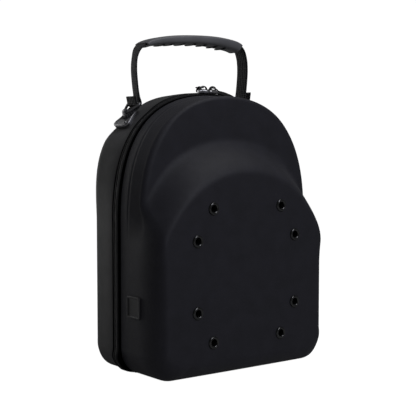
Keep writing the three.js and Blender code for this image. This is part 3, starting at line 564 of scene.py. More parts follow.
class Recipe:
    """A material put together node by node."""

    def __init__(self, name, **shader):
        self.material = bpy.data.materials.new(name)
        self.material.use_nodes = True
        self.nodes = self.material.node_tree.nodes
        self.links = self.material.node_tree.links
        self.shader = self.nodes["Principled BSDF"]
        for socket, value in shader.items():
            self.shader.inputs[socket.replace("_", " ")].default_value = value

    def add(self, kind, inputs=None, **settings):
        node = self.nodes.new(kind)
        for name, value in settings.items():
            setattr(node, name, value)
        for name, value in (inputs or {}).items():
            self.feed(node.inputs[name], value)
        return node

    def feed(self, socket, value):
        if isinstance(value, bpy.types.NodeSocket):
            self.links.new(value, socket)
        else:
            socket.default_value = value

    def math(self, operation, first, second=0.0):
        return self.add("ShaderNodeMath", {0: first, 1: second}, operation=operation).outputs[0]

    def noise(self, scale, detail=3.0):
        """Soft noise over the object, with a scale in cells per metre."""
        place = self.add("ShaderNodeTexCoord").outputs["Object"]
        inputs = {"Vector": place, "Scale": scale, "Detail": detail, "Roughness": 0.55}
        return self.add("ShaderNodeTexNoise", inputs).outputs["Fac"]

    def cloth_axes(self):
        """The two millimetre coordinates that run along the piece's own weave."""
        flat = self.add("ShaderNodeUVMap", uv_map="cloth").outputs["UV"]
        apart = self.add("ShaderNodeSeparateXYZ", {"Vector": flat})
        return apart.outputs["X"], apart.outputs["Y"]

    def wave(self, axis, pitch):
        """Sine along a cloth axis, with a pitch in millimetres."""
        return self.math("SINE", self.math("MULTIPLY", axis, 2 * np.pi / pitch))

    def vary(self, socket, low, high, factor):
        """A shader input that runs from low to high with a factor."""
        inputs = {"Value": factor, "From Min": 0.3, "From Max": 0.7, "To Min": low, "To Max": high}
        level = self.add("ShaderNodeMapRange", inputs).outputs["Result"]
        self.feed(self.shader.inputs[socket], level)

    def stain(self, colour, spread, factor):
        """Base colour that wanders a little darker and lighter with a factor."""
        ramp = self.add("ShaderNodeValToRGB", {"Fac": factor})
        for stop, share in zip(ramp.color_ramp.elements, (1 - spread, 1 + spread)):
            stop.color = (*[share * c for c in colour], 1)
        ramp.color_ramp.elements[0].position = 0.3
        ramp.color_ramp.elements[1].position = 0.7
        self.feed(self.shader.inputs["Base Color"], ramp.outputs["Color"])

    def raise_by(self, height, distance, strength):
        """Bump from a height, laid over any bump before it."""
        inputs = {"Height": height, "Distance": distance, "Strength": strength}
        bump = self.add("ShaderNodeBump", inputs)
        before = self.shader.inputs["Normal"]
        if before.is_linked:
            self.feed(bump.inputs["Normal"], before.links[0].from_socket)
        self.feed(before, bump.outputs["Normal"])


def woven_cloth(name, colour, pitch):
    """Plain weave over foam: threads cross over and under on the piece's own cloth axes."""
    r = Recipe(name, Sheen_Weight=0.05, Sheen_Roughness=0.5, Specular_IOR_Level=0.35)
    u, v = r.cloth_axes()
    weave = r.math("MULTIPLY", r.wave(u, pitch), r.wave(v, pitch))
    slub = r.noise(900, 2.0)
    r.stain(colour, 0.16, r.math("ADD", r.math("MULTIPLY", weave, 0.1), r.noise(60, 4.0)))
    r.vary("Roughness", 0.52, 0.66, slub)
    r.raise_by(weave, 0.00008, 0.5)
    r.raise_by(r.noise(14, 2.0), 0.0012, 0.25)
    return r.material


def twill_tape(name, colour, shine):
    """Zip tape and its binding: fine slanting ribs."""
    r = Recipe(name, Specular_IOR_Level=shine)
    u, v = r.cloth_axes()
    ribs = r.wave(r.math("ADD", u, v), 0.9)
    r.stain(colour, 0.2, r.noise(120, 3.0))
    r.vary("Roughness", 0.55, 0.7, r.noise(700))
    r.raise_by(ribs, 0.00008, 0.6)
    return r.material


def ribbed_webbing(look):
    """Strap webbing: ribs along its length crossed by the weft."""
    r = Recipe("ribbed webbing", Sheen_Weight=0.08, Sheen_Roughness=0.5, Specular_IOR_Level=0.3)
    u, v = r.cloth_axes()
    ribs = r.math("ADD", r.wave(u, 3.1), r.math("MULTIPLY", r.wave(v, 2.6), 0.8))
    r.stain(look.webbing, 0.9, r.math("ADD", r.math("MULTIPLY", ribs, 0.12), r.noise(330, 3.0)))
    r.vary("Roughness", 0.58, 0.72, r.noise(800))
    r.raise_by(ribs, 0.0003, 0.8)
    return r.material


def satin_rubber(name, colour, roughness):
    """Moulded rubber: a soft gloss with fine pores and a few duller patches."""
    r = Recipe(name, Specular_IOR_Level=0.45)
    r.stain(colour, 0.14, r.noise(45, 4.0))
    r.vary("Roughness", roughness - 0.06, roughness + 0.08, r.noise(90, 4.0))
    r.raise_by(r.noise(2600, 2.0), 0.00006, 0.6)
    return r.material


def plated_metal(name, colour, roughness):
    """Plated metal with rubbed streaks and duller spots."""
    r = Recipe(name, Metallic=1.0)
    r.stain(colour, 0.18, r.noise(160, 5.0))
    r.vary("Roughness", roughness - 0.08, roughness + 0.1, r.noise(240, 5.0))
    r.raise_by(r.noise(900, 3.0), 0.00003, 0.4)
    return r.material


def gloss_enamel(look):
    """Black stove enamel, glossy with a slight orange peel."""
    r = Recipe("gloss enamel", Coat_Weight=0.6, Coat_Roughness=0.08, Specular_IOR_Level=0.6)
    r.stain(look.enamel, 0.2, r.noise(220, 3.0))
    r.vary("Roughness", 0.14, 0.24, r.noise(320, 4.0))
    r.raise_by(r.noise(1400, 2.0), 0.00003, 0.4)
    return r.material


def coil_plastic(look):
    """Zip coil: smooth dark nylon."""
    r = Recipe("coil nylon", Specular_IOR_Level=0.5)
    r.stain(look.coil, 0.2, r.noise(400, 3.0))
    r.vary("Roughness", 0.34, 0.48, r.noise(700, 3.0))
    r.raise_by(r.noise(1800, 2.0), 0.00004, 0.4)
    return r.material


def finish(make, *extra):
    """The finish of that kind, made once and then shared."""
    label = f"{make.__name__}{extra}"
    for material in bpy.data.materials:
        if material.get("recipe") == label:
            return material
    material = make(*extra) if extra else make(bpy.context.scene.carrier_finishes)
    material["recipe"] = label
    return material


# The pieces

class CARRIER_OT_shells(bpy.types.Operator):
    """Back shell, and front shell with its bulge and the holes for the eyelets"""
    bl_idname = "carrier.shells"
    bl_label = "Shells"

    def execute(self, context):
        case = millimetres(context.scene.carrier_case)
        zipper = millimetres(context.scene.carrier_zip)

        def front_rounding(where):
            """Long along the wall at the sides, even at the base and tight round the arch."""
            arch = ease(where.point[:, 1], case.bulge_centre + 10, case.bulge_centre + 84)
            base = ease(-where.normal[:, 1], 0.3, 0.95)
            top = ease(where.normal[:, 1], 0.6, 0.95)
            tray = mix(case.tray_radius, case.tray_top_radius, top)
            return [mix(mix(side, case.base_round, base), tray, arch)
                    for side in (case.side_across, case.side_deep)]

        def back_rounding(where):
            """The same all round."""
            return [np.full(len(where.point), case.back_radius)] * 2

        def front_lean(where):
            """The same all round."""
            return np.full(len(where.point), FRONT_DRAFT)

        def back_lean(where):
            """Inward at the sides, outward at the shoulders."""
            return mix(BACK_DRAFT, -BACK_SWELL, rear_swell(case, where))

        def tray_crease(where, d):
            """Line pressed along the wall of the arch, a bell curve over the depth, and the lean of
            the wall beyond it. Both run out above the bulge."""
            line = TRAY_LINE_PRESS * np.exp(-((d - TRAY_LINE) / TRAY_LINE_WIDTH) ** 2)
            sideways = np.clip(np.abs(where.normal[:, 0]) / 0.9, 0, 1)
            beyond = TRAY_LEAN * sideways * np.maximum(d - TRAY_LINE, 0)
            return (line + beyond) * ease(where.point[:, 1], *TRAY_START)

        def no_crease(where, d):
            """A plain wall."""
            return 0 * d

        look = context.scene.carrier_finishes
        pitch = 1000 * look.weave
        cloth = finish(woven_cloth, "front cloth", tuple(look.cloth), pitch)
        # Lighter rear cloth: partly a different fabric, partly painted light on the rear side
        rear_cloth_with_painted_light = finish(woven_cloth, "rear cloth", tuple(look.rear), pitch)
        back = shell_skin(case, zipper.band_thick, 1, back_depth(case), back_rounding, back_lean,
                          case.back_rim, no_crease, arch_rise, face_rows=34)
        piece = make_piece("rear_half", [back], [rear_cloth_with_painted_light], ["back_shell"])
        front = shell_skin(case, zipper.band_thick, -1, front_depth(case), front_rounding, front_lean,
                           case.front_rim, tray_crease)
        piece = make_piece("front_half", [front], [cloth], ["front_shell"])
        self.pierce(context, piece, case)
        return {"FINISHED"}

    def pierce(self, context, piece, case):
        """Cuts the eyelet holes with plain pins, which are then taken away."""
        pin_radius = case.eyelet_bore + 0.9
        pins = []
        for x, z in eyelet_places():
            y = -front_depth(case)(x, z)
            middle = np.array([[x, y - 4, z], [x, y + 3 * case.wall, z]])
            ends = np.ones((2, 1))
            pin = carried(middle, ends * [1, 0, 0], ends * [0, 0, 1], disc(pin_radius, 40))
            pins.append(skin_of(pin))
        cutter = make_piece("eyelet_pins", pins, [], [])
        hole = piece.modifiers.new("eyelet holes", "BOOLEAN")
        hole.operation = "DIFFERENCE"
        hole.solver = "EXACT"
        hole.object = cutter
        with context.temp_override(object=piece, active_object=piece):
            bpy.ops.object.modifier_apply(modifier=hole.name)
        pins_mesh = cutter.data
        bpy.data.objects.remove(cutter)
        bpy.data.meshes.remove(pins_mesh)


def eyelet_places():
    """The eight eyelets: each pair mirrored top to bottom and left to right."""
    return [(sx * across, EYELET_HEIGHT + sz * up)
            for across, up in EYELET_PAIRS for sz in (1, -1) for sx in (-1, 1)]


class CARRIER_OT_eyelets(bpy.types.Operator):
    """Eight vent eyelets with rolled collars"""
    bl_idname = "carrier.eyelets"
    bl_label = "Vent eyelets"

    def execute(self, context):
        case = millimetres(context.scene.carrier_case)
        bore, collar = case.eyelet_bore, case.eyelet_flange
        # Half round collar, the bore down through the wall, and a flat washer behind
        turn = np.radians(np.linspace(0, 180, 13))
        roll = np.stack([mix(bore, collar, (1 + np.cos(turn)) / 2), 1.9 * np.sin(turn) ** 0.8], axis=1)
        behind = -case.wall - 1.2
        tube = np.array([[bore, behind - 1], [collar, behind - 1], [collar, behind], [bore + 0.7, behind],
                         [bore + 0.7, 0.2], [collar, 0.2]])
        profile = np.concatenate([roll, tube])
        spin = 2 * np.pi * np.arange(40) / 40
        ring = np.stack([profile[:, :1] * np.cos(spin), -profile[:, 1:] + 0 * spin,
                         profile[:, :1] * np.sin(spin)], axis=2)
        eyelet = skin_of(ring, loop=True)
        spots = np.array(eyelet_places())
        depth = front_depth(case)(spots[:, 0], spots[:, 1])
        middles = np.stack([spots[:, 0], -depth, spots[:, 1]], axis=1)
        all_eight = copies(eyelet, middles, np.broadcast_to(np.eye(3), (8, 3, 3)))
        names = [f"eyelet_{i + 1}" for i in range(8)]
        make_piece("vent_eyelets", [all_eight], [finish(gloss_enamel)], names)
        return {"FINISHED"}


def corner_lift(where):
    """How much prouder the band stands as it turns under the bottom corners."""
    return np.minimum(CORNER_LIFT * ease(-where.normal[:, 1], 0, 0.4), where.point[:, 1] / 2)


def rear_slope(y):
    """Share of the arch's rise at a depth of the band, from its front edge to its rear edge."""
    return np.clip((y + RISE_HALF) / (2 * RISE_HALF), 0, 1)


def round_the_rim(case, section, start, end, steps):
    """A section of (depth, height) points carried round the outline, raised with the band
    at the bottom corners wherever its height is above the seat, and sloped up to the rear
    on top of the arch."""
    where = outline_at(case, np.linspace(start, end, steps))
    lift = corner_lift(where)
    out = np.stack([where.normal[:, 0], 0 * lift, where.normal[:, 1]], axis=1)
    middle = np.stack([where.point[:, 0], 0 * lift, where.point[:, 1]], axis=1)
    section = np.asarray(section, float)
    raised = np.repeat(section[None], steps, axis=0)
    raised[..., 1] += lift[:, None] * ease(section[:, 1], -1.9, -0.4)
    raised[..., 1] += arch_rise(where)[:, None] * rear_slope(section[:, 0])
    across = np.broadcast_to([0.0, 1.0, 0.0], middle.shape)
    return carried(middle + section.mean(axis=0)[0] * across, across, out,
                   raised - [section.mean(axis=0)[0], 0])


class CARRIER_OT_zip(bpy.types.Operator):
    """Zip tapes with their grooves, the toothed coil, and the cloth hinge below"""
    bl_idname = "carrier.zip"
    bl_label = "Zip"

    def execute(self, context):
        case = millimetres(context.scene.carrier_case)
        zipper = millimetres(context.scene.carrier_zip)
        deep = -zipper.band_thick
        start, end = ZIP_SHARE + ZIP_GAP, 1 - ZIP_SHARE - ZIP_GAP
        look = context.scene.carrier_finishes
        tape = finish(twill_tape, "zip tape", tuple(look.tape), 0.1)
        # The binding's near-black colour paints the shade in the grooves beside the zip
        binding = finish(twill_tape, "dark binding", tuple(look.binding), 0.0)
        near = zipper.coil_middle - zipper.coil_half
        far = zipper.coil_middle + zipper.coil_half
        # The rear binding's lip laps over the shell's rolled edge to paint the shade along it
        for name, node, way, edge, inner, rim, lip in (
                ("front_tape", "zip_tape_front", -1, zipper.front_edge, near, case.front_rim, -0.3),
                ("rear_tape", "zip_tape_back", 1, zipper.back_edge, far, case.back_rim, 0.8)):
            sections = (self.tape(way, way * edge, inner + 0.15 * way, rim, deep),
                        self.binding(way, way * edge, rim, lip))
            strips = [skin_of(round_the_rim(case, s, start, end, RIM_STEPS)) for s in sections]
            make_piece(name, strips, [tape, binding], [node], crease=60)
        coil = finish(coil_plastic)
        bed = np.array([(near, deep), (far, deep), (far, -1.1), (near, -1.1)])
        bed = skin_of(round_the_rim(case, bed, start, end, RIM_STEPS))
        chain = [bed, self.teeth(case, zipper, start, end)]
        make_piece("zip_teeth", chain, [coil], ["zip_chain"])
        band = rounded(2 * zipper.hinge_half, zipper.band_thick, 0.5, 4) - [0, zipper.band_thick / 2]
        hinge = round_the_rim(case, band, -ZIP_SHARE + ZIP_GAP, ZIP_SHARE - ZIP_GAP, 120)
        make_piece("cloth_hinge", [skin_of(hinge)], [tape], ["hinge_strip"])
        return {"FINISHED"}

    def tape(self, way, edge, inner, rim, deep):
        """Section of a tape in (depth, height): a thin foot that runs under the skin, and a
        raised strip with softened corners from the coil to the tape's edge."""
        foot = way * rim - 0.9 * way
        return np.array([
            (inner, deep), (foot, deep), (foot, deep + 0.4), (edge + 0.5 * way, deep + 0.4),
            (edge, deep + 0.8), (edge, -0.45), (edge - 0.15 * way, -0.12), (edge - 0.5 * way, 0),
            (inner + 0.5 * way, 0), (inner + 0.15 * way, -0.12), (inner, -0.45)])

    def binding(self, way, edge, rim, lip):
        """Section of the dark binding in (depth, height): it fills the groove from the tape's
        edge to the rim of the skin, with a lip at the rim. Its near-black colour is partly a real
        binding and partly painted shade in the groove, and the rear lip paints the shade along the
        shell's rolled edge."""
        return np.array([
            (0.55 * way + edge, -1.6), (way * (rim - 0.85), -1.6), (way * (rim - 0.6), -1.06),
            (way * (rim - 0.4), -0.9), (way * (rim + lip), -0.72), (way * (rim + lip), -0.6),
            ((edge + way * rim) / 2, -0.45), (edge + 0.05 * way, -0.42), (edge + 0.05 * way, -1.2)])

    def teeth(self, case, zipper, start, end):
        """Two rows of pill-shaped teeth, half a pitch apart, joined as one skin. A pill is a
        sphere whose rings are swelled by a power, stretched along the three axes."""
        rows = np.radians(np.linspace(0, 180, 6))[:, None]
        columns = 2 * np.pi * np.arange(8) / 8
        ring = np.sin(rows) ** 0.6
        pill = np.stack([1.15 * np.cos(rows) + 0 * columns, 0.72 * ring * np.cos(columns),
                         0.85 * ring * np.sin(columns)], axis=2)
        tooth = skin_of(pill)
        length = outline_at(case, 0.0).length * (end - start)
        count = int(length / zipper.tooth_pitch)
        sets = []
        for row, offset in ((-1, 0.25), (1, 0.75)):
            where = outline_at(case, mix(start, end, (np.arange(count) + offset) / count))
            y = zipper.coil_middle + 0.4 * row
            lift = corner_lift(where) + arch_rise(where) * rear_slope(y)
            zero = 0 * lift
            out = np.stack([where.normal[:, 0], zero, where.normal[:, 1]], axis=1)
            along = np.stack([-where.normal[:, 1], zero, where.normal[:, 0]], axis=1)
            across = np.broadcast_to([0.0, 1.0, 0.0], out.shape)
            middle = np.stack([where.point[:, 0], zero + y, where.point[:, 1]], axis=1)
            middle = middle + (lift - 0.75)[:, None] * out
            sets.append(copies(tooth, middle, np.stack([across, along, out], axis=1)))
        shift = len(sets[0].points)
        return SimpleNamespace(
            points=np.concatenate([s.points for s in sets]),
            quads=np.concatenate([sets[0].quads, sets[1].quads + shift]),
            fans=np.concatenate([sets[0].fans, sets[1].fans + shift]),
            cloth=np.concatenate([s.cloth for s in sets]),
            fan_cloth=np.concatenate([s.fan_cloth for s in sets]))


def strap_frames(handle, shares):
    """Middle, width and outward axes of the strap at shares of its spans, from the tail
    outside the left ring bar, round that bar, up and over, to the tail outside the right bar."""
    wrap = handle.wire + SEAT + handle.strap_thick / 2
    turn = np.radians([0, -45, -90, -135, -180])
    rise = handle.grip_height - handle.bar_height
    bend = np.stack([wrap * np.cos(turn), wrap * np.sin(turn)], axis=1)
    top = ((-handle.leg / 2, rise - GRIP_SAG), (-handle.leg, rise))
    left, right = (np.array([*tail, *bend, *STRAP_LEG, *top]) for tail in (STRAP_TAIL, RIGHT_TAIL))
    both = np.concatenate([left * [-1, 1] - [handle.leg, 0], right[-2::-1] + [handle.leg, 0]])
    lean = HANDLE_LEAN * both[:, 0] / handle.leg * np.maximum(both[:, 1], 0) / rise
    z = handle.bar_height + both[:, 1] + lean
    path = np.stack([both[:, 0], np.full(len(z), handle.middle), z], axis=1)
    fine = smooth_curve(path, 1401)
    t = np.linspace(0, 1, 1401)
    middle = np.stack([np.interp(shares, t, fine[:, k]) for k in range(3)], axis=1)
    way = slope(fine)
    along = unit(np.stack([np.interp(shares, t, way[:, k]) for k in range(3)], axis=1))
    step = 2 * STRAP_SPANS * shares
    grip = 2 * GRIP_SPAN
    twist = STRAP_TWIST * ease(step, 12, 15) * (1 - ease(step, grip - 4, grip))
    out = np.stack([-along[:, 2], 0 * twist, along[:, 0]], axis=1)
    across = np.broadcast_to([0.0, 1.0, 0.0], out.shape)
    c, s = np.cos(twist)[:, None], np.sin(twist)[:, None]
    return middle, c * across + s * np.cross(along, across), c * out + s * np.cross(along, out)


class CARRIER_OT_handle(bpy.types.Operator):
    """Webbing strap with its folds, and the ribbed rubber grip"""
    bl_idname = "carrier.handle"
    bl_label = "Handle"

    def execute(self, context):
        handle = millimetres(context.scene.carrier_handle)
        section = rounded(handle.strap_width, handle.strap_thick, 0.8, 4)
        frames = strap_frames(handle, np.linspace(0, 1, 281))
        strap = skin_of(carried(*frames, section))
        make_piece("carry_strap", [strap], [finish(ribbed_webbing)], ["handle_strap"])
        look = context.scene.carrier_finishes
        rubber = finish(satin_rubber, "grip rubber", tuple(look.grip), 0.5)
        # Near-black rubber for the ribs: painted shade under the grip
        rib_painted_shade_rubber = finish(satin_rubber, "rib rubber", tuple(look.ribs), 0.6)
        make_piece("carry_grip", [skin_of(self.grip(handle), loop=True), self.ribs(handle)],
                   [rubber, rib_painted_shade_rubber], ["handle_grip"], crease=50)
        return {"FINISHED"}

    def fullness(self, handle, s):
        """Thickness of the sleeve at a share of its length, and how much fuller it is below."""
        hump = np.sin(np.pi * s)
        belly = mix(2.2, 1.2, hump) + 0.9 * ease(s, 0.5, 0.75) + handle.grip_droop * ease(s, 0.5, 1)
        return mix(handle.grip_end, handle.grip_thick, hump), belly

    def ribs(self, handle):
        """Slanting finger ribs across the underside: flat pills set along the sleeve, coloured near-black
        as painted shade under the grip.
        """
        rows = np.radians(np.linspace(0, 180, 9))[:, None]
        columns = 2 * np.pi * np.arange(16) / 16
        ring = np.sin(rows) ** 0.5
        pill = np.stack([2.4 * ring * np.cos(columns), 10.5 * np.cos(rows) + 0 * columns,
                         1.1 * ring * np.sin(columns)], axis=2)
        s = np.linspace(0.24, 0.76, 7)
        thick, belly = self.fullness(handle, s)
        start = GRIP_SPAN / STRAP_SPANS
        middle, across, out = strap_frames(handle, mix(start, 1 - start, s))
        middle = middle - (thick / 2 + belly - 0.1)[:, None] * out
        along = np.cross(across, out)
        slant = np.radians(14)
        axes = [np.cos(slant) * along + np.sin(slant) * out, across,
                np.cos(slant) * out - np.sin(slant) * along]
        return copies(skin_of(pill), middle, np.stack(axes, axis=1))

    def grip(self, handle):
        """Sleeve: rows run left to right outside and back through the slot. The section is a
        squared oval that swells to the middle, with a fuller underside that droops to the right."""
        start = GRIP_SPAN / STRAP_SPANS
        angle = 2 * np.pi * np.arange(72) / 72
        c, d = np.cos(angle), np.sin(angle)

        def squared(value):
            """A sine or cosine pushed out towards a square."""
            return np.sign(value) * np.abs(value) ** 0.6

        s = np.linspace(0, 1, 240)[:, None]
        thick, belly = self.fullness(handle, s)
        p = handle.grip_width / 2 * squared(c) + 0 * s
        q = squared(d) * thick / 2 - belly * np.maximum(0, -d)
        frames = strap_frames(handle, mix(start, 1 - start, s[:, 0]))
        outside = carried(*frames, np.stack([p, q], axis=2))[1:-1]
        slot = np.stack([(handle.strap_width / 2 + SEAT) * np.clip(1.6 * c, -1, 1),
                         (handle.strap_thick / 2 + SEAT) * np.clip(2.4 * d, -1, 1)], axis=1)
        frames = strap_frames(handle, mix(1 - start, start, np.linspace(0, 1, 40)))
        inside = carried(*frames, slot)[1:-1]
        return np.concatenate([outside, inside])


class CARRIER_OT_rings(bpy.types.Operator):
    """Wire rings at the strap's ends, and the metal anchors on the shoulders"""
    bl_idname = "carrier.rings"
    bl_label = "Rings and anchors"

    def execute(self, context):
        case = millimetres(context.scene.carrier_case)
        handle = millimetres(context.scene.carrier_handle)
        metal = finish(plated_metal, "gunmetal", tuple(context.scene.carrier_finishes.gunmetal), 0.36)
        webbing = finish(ribbed_webbing)
        for side, name in ((-1, "left"), (1, "right")):
            ring = skin_of(self.ring(handle, side), loop=True)
            make_piece(f"wire_ring_{name}", [ring], [metal], [f"strap_ring_{name}"])
            make_piece(f"shoulder_anchor_{name}", self.anchor(case, handle, side), [webbing, metal],
                       [f"anchor_{name}"])
        return {"FINISHED"}

    def ring(self, handle, side):
        """A round wire carried along a closed curve: a straight bar for the strap and two
        sides that close on the lug, hanging outward and down."""
        drop = RING_DROP
        half = np.array(RING_SIDE) * [handle.ring_reach, handle.ring_half]
        flat = np.concatenate([half, [[handle.ring_reach, 0]], half[::-1] * [1, -1]])
        points = np.stack([side * (handle.leg + flat[:, 0] * np.cos(drop)), handle.middle + flat[:, 1],
                           handle.bar_height - flat[:, 0] * np.sin(drop)], axis=1)
        path = smooth_curve(points, 132, closed=True)
        plane = np.array([side * np.sin(drop), 0, np.cos(drop)])
        across = np.broadcast_to(plane, path.shape)
        out = np.cross(slope(path, closed=True), across)
        return carried(path, across, out, disc(handle.wire, 16))[1:-1]

    def anchor(self, case, handle, side):
        """The dark webbing tongue, which also paints the shade inside the ring's eye, then the metal: the
        plate, the lug and two rivets. Each is laid on the shoulder by its share of the anchor's length,
        its depth and its height."""
        shares = np.linspace(0.3, 0.5, 2001)
        shoulder = outline_at(case, shares)
        low, high = (np.interp(-x, -shoulder.point[:, 0], shares) for x in ANCHOR_EDGES)

        def along(up):
            """The outline at a share of the anchor's length."""
            return outline_at(case, mix(low, high, up))

        def on_shoulder(up, y, height):
            """Points above the swelled skin."""
            where = along(up)
            swell = BACK_SWELL * rear_swell(case, where) * np.maximum(y - case.back_rim, 0)
            p = where.point + where.normal * (height + swell)[..., None]
            return np.stack([side * p[..., 0], y, p[..., 1]], axis=-1)

        skins = [self.tongue(handle, on_shoulder), self.plate(handle, on_shoulder)]
        skins.append(self.lug(handle, side, along(0.5)))
        for y in (-RIVET_APART, RIVET_APART):
            base = on_shoulder(np.array(RIVET_UP), np.array(handle.middle + y), np.array(4.85))
            skins.append(self.rivet(side, along(RIVET_UP), base))
        return skins

    def plate(self, handle, on_shoulder):
        """Plate that narrows up the shoulder on a thinner base plate, with a raised strip. The
        rings of points spread from the middle of the top to its edge, in under it, out over the
        base plate and back below."""
        share = np.array([0.0, 0.3, 0.6, 0.85, 0.92, 0.96, 0.98, 0.98,
                          0.86, 0.86, 1.0, 1.0, 0.97, 0.6, 0.0])[:, None, None]
        height = np.array([5.2, 5.2, 5.2, 5.2, 5.1, 4.8, 4.3, 3.0,
                           2.8, 1.9, 1.7, 0.3, 0.0, 0.0, 0.0])[:, None]
        ring = rounded(2, 2, 0.5, 7) * share
        up, across = (1 + ring[..., 0]) / 2, ring[..., 1]
        wide = handle.anchor_width / 2 * mix(1, 0.5, ease(up, 0.1, 1))
        strip = 0.7 * (1 - ease(np.abs(across), 0.18, 0.3)) * (height > 4)
        return skin_of(on_shoulder(up, handle.middle + across * wide, height + strip - 0.25))

    def tongue(self, handle, on_shoulder):
        """Webbing tongue on the upper half of the plate, under the ring: rings spread from the middle of
        its top over a rounded edge and close below. Its dark webbing stands partly for a real tab and
        partly as painted shade filling the ring's eye."""
        ring = np.array([0.0, 0.5, 0.8, 0.93, 1.0, 1.0, 0.9, 0.0])[:, None, None] * rounded(2, 2, 0.4, 5)
        rise = np.array([7.6, 7.6, 7.4, 6.9, 6.0, 4.4, 4.2, 4.2])[:, None] + 0 * ring[..., 0]
        climb = (1 + ring[..., 0]) / 2
        y = handle.middle + ring[..., 1] * mix(4.5, 9, climb)
        return skin_of(on_shoulder(mix(0.32, 1.08, climb), y, rise))

    def lug(self, handle, side, root):
        """Keyhole lug round the ring's eye: straight sides from the plate, half round about the
        eye, and a bore. Its section runs round from the bore to the rim on both faces."""
        eye = np.array([handle.leg + handle.ring_reach * np.cos(RING_DROP),
                        handle.bar_height - handle.ring_reach * np.sin(RING_DROP)])
        foot = root.point + root.normal * 3
        lengthwise = unit(eye - foot)
        sideways = np.array([-lengthwise[1], lengthwise[0]])
        turn = np.radians(np.linspace(-90, 90, 13))[:, None]
        nose = eye + 3.6 * (np.cos(turn) * lengthwise + np.sin(turn) * sideways)
        rim = np.concatenate([[foot - 3.6 * sideways], nose, [foot + 3.6 * sideways]])
        spin = np.radians(np.linspace(-112, 112, len(rim)))[:, None]
        bore = eye + 2.4 * (np.cos(spin) * lengthwise + np.sin(spin) * sideways)
        y = handle.middle + 2.5 * np.array([-1, -1, -0.7, 0.7, 1, 1, 0.7, -0.7])
        tuck = np.array([0.12, 0.88, 1, 1, 0.88, 0.12, 0, 0])[:, None, None]
        sheet = mix(bore, rim, tuck)
        y = np.repeat(y[:, None], len(rim), axis=1)
        lug = np.stack([side * sheet[..., 0], y, sheet[..., 1]], axis=2)
        ends = [np.broadcast_to(lug[:, end].mean(axis=0), (len(lug), 1, 3)) for end in (0, -1)]
        lug = np.concatenate([ends[0], lug, ends[1]], axis=1)
        return skin_of(lug.transpose(1, 0, 2))

    def rivet(self, side, where, base):
        """Domed head: a flattened sphere cut off a little below its middle, square to the shoulder."""
        spin = 2 * np.pi * np.arange(20) / 20
        rise = np.radians(np.linspace(90, -20, 8))[:, None]
        head = np.stack([2.1 * np.cos(rise) * np.cos(spin), 2.1 * np.cos(rise) * np.sin(spin),
                         1.2 * np.sin(rise) + 0 * spin], axis=2)
        head = np.concatenate([head, head[-1:] * [0, 0, 1]])
        out = np.array([side * where.normal[0], 0, where.normal[1]])
        along = np.array([-side * where.normal[1], 0, where.normal[0]])
        axes = np.stack([along, [0.0, 1.0, 0.0], out])
        return outward(copies(skin_of(head), base[None], axes[None]))


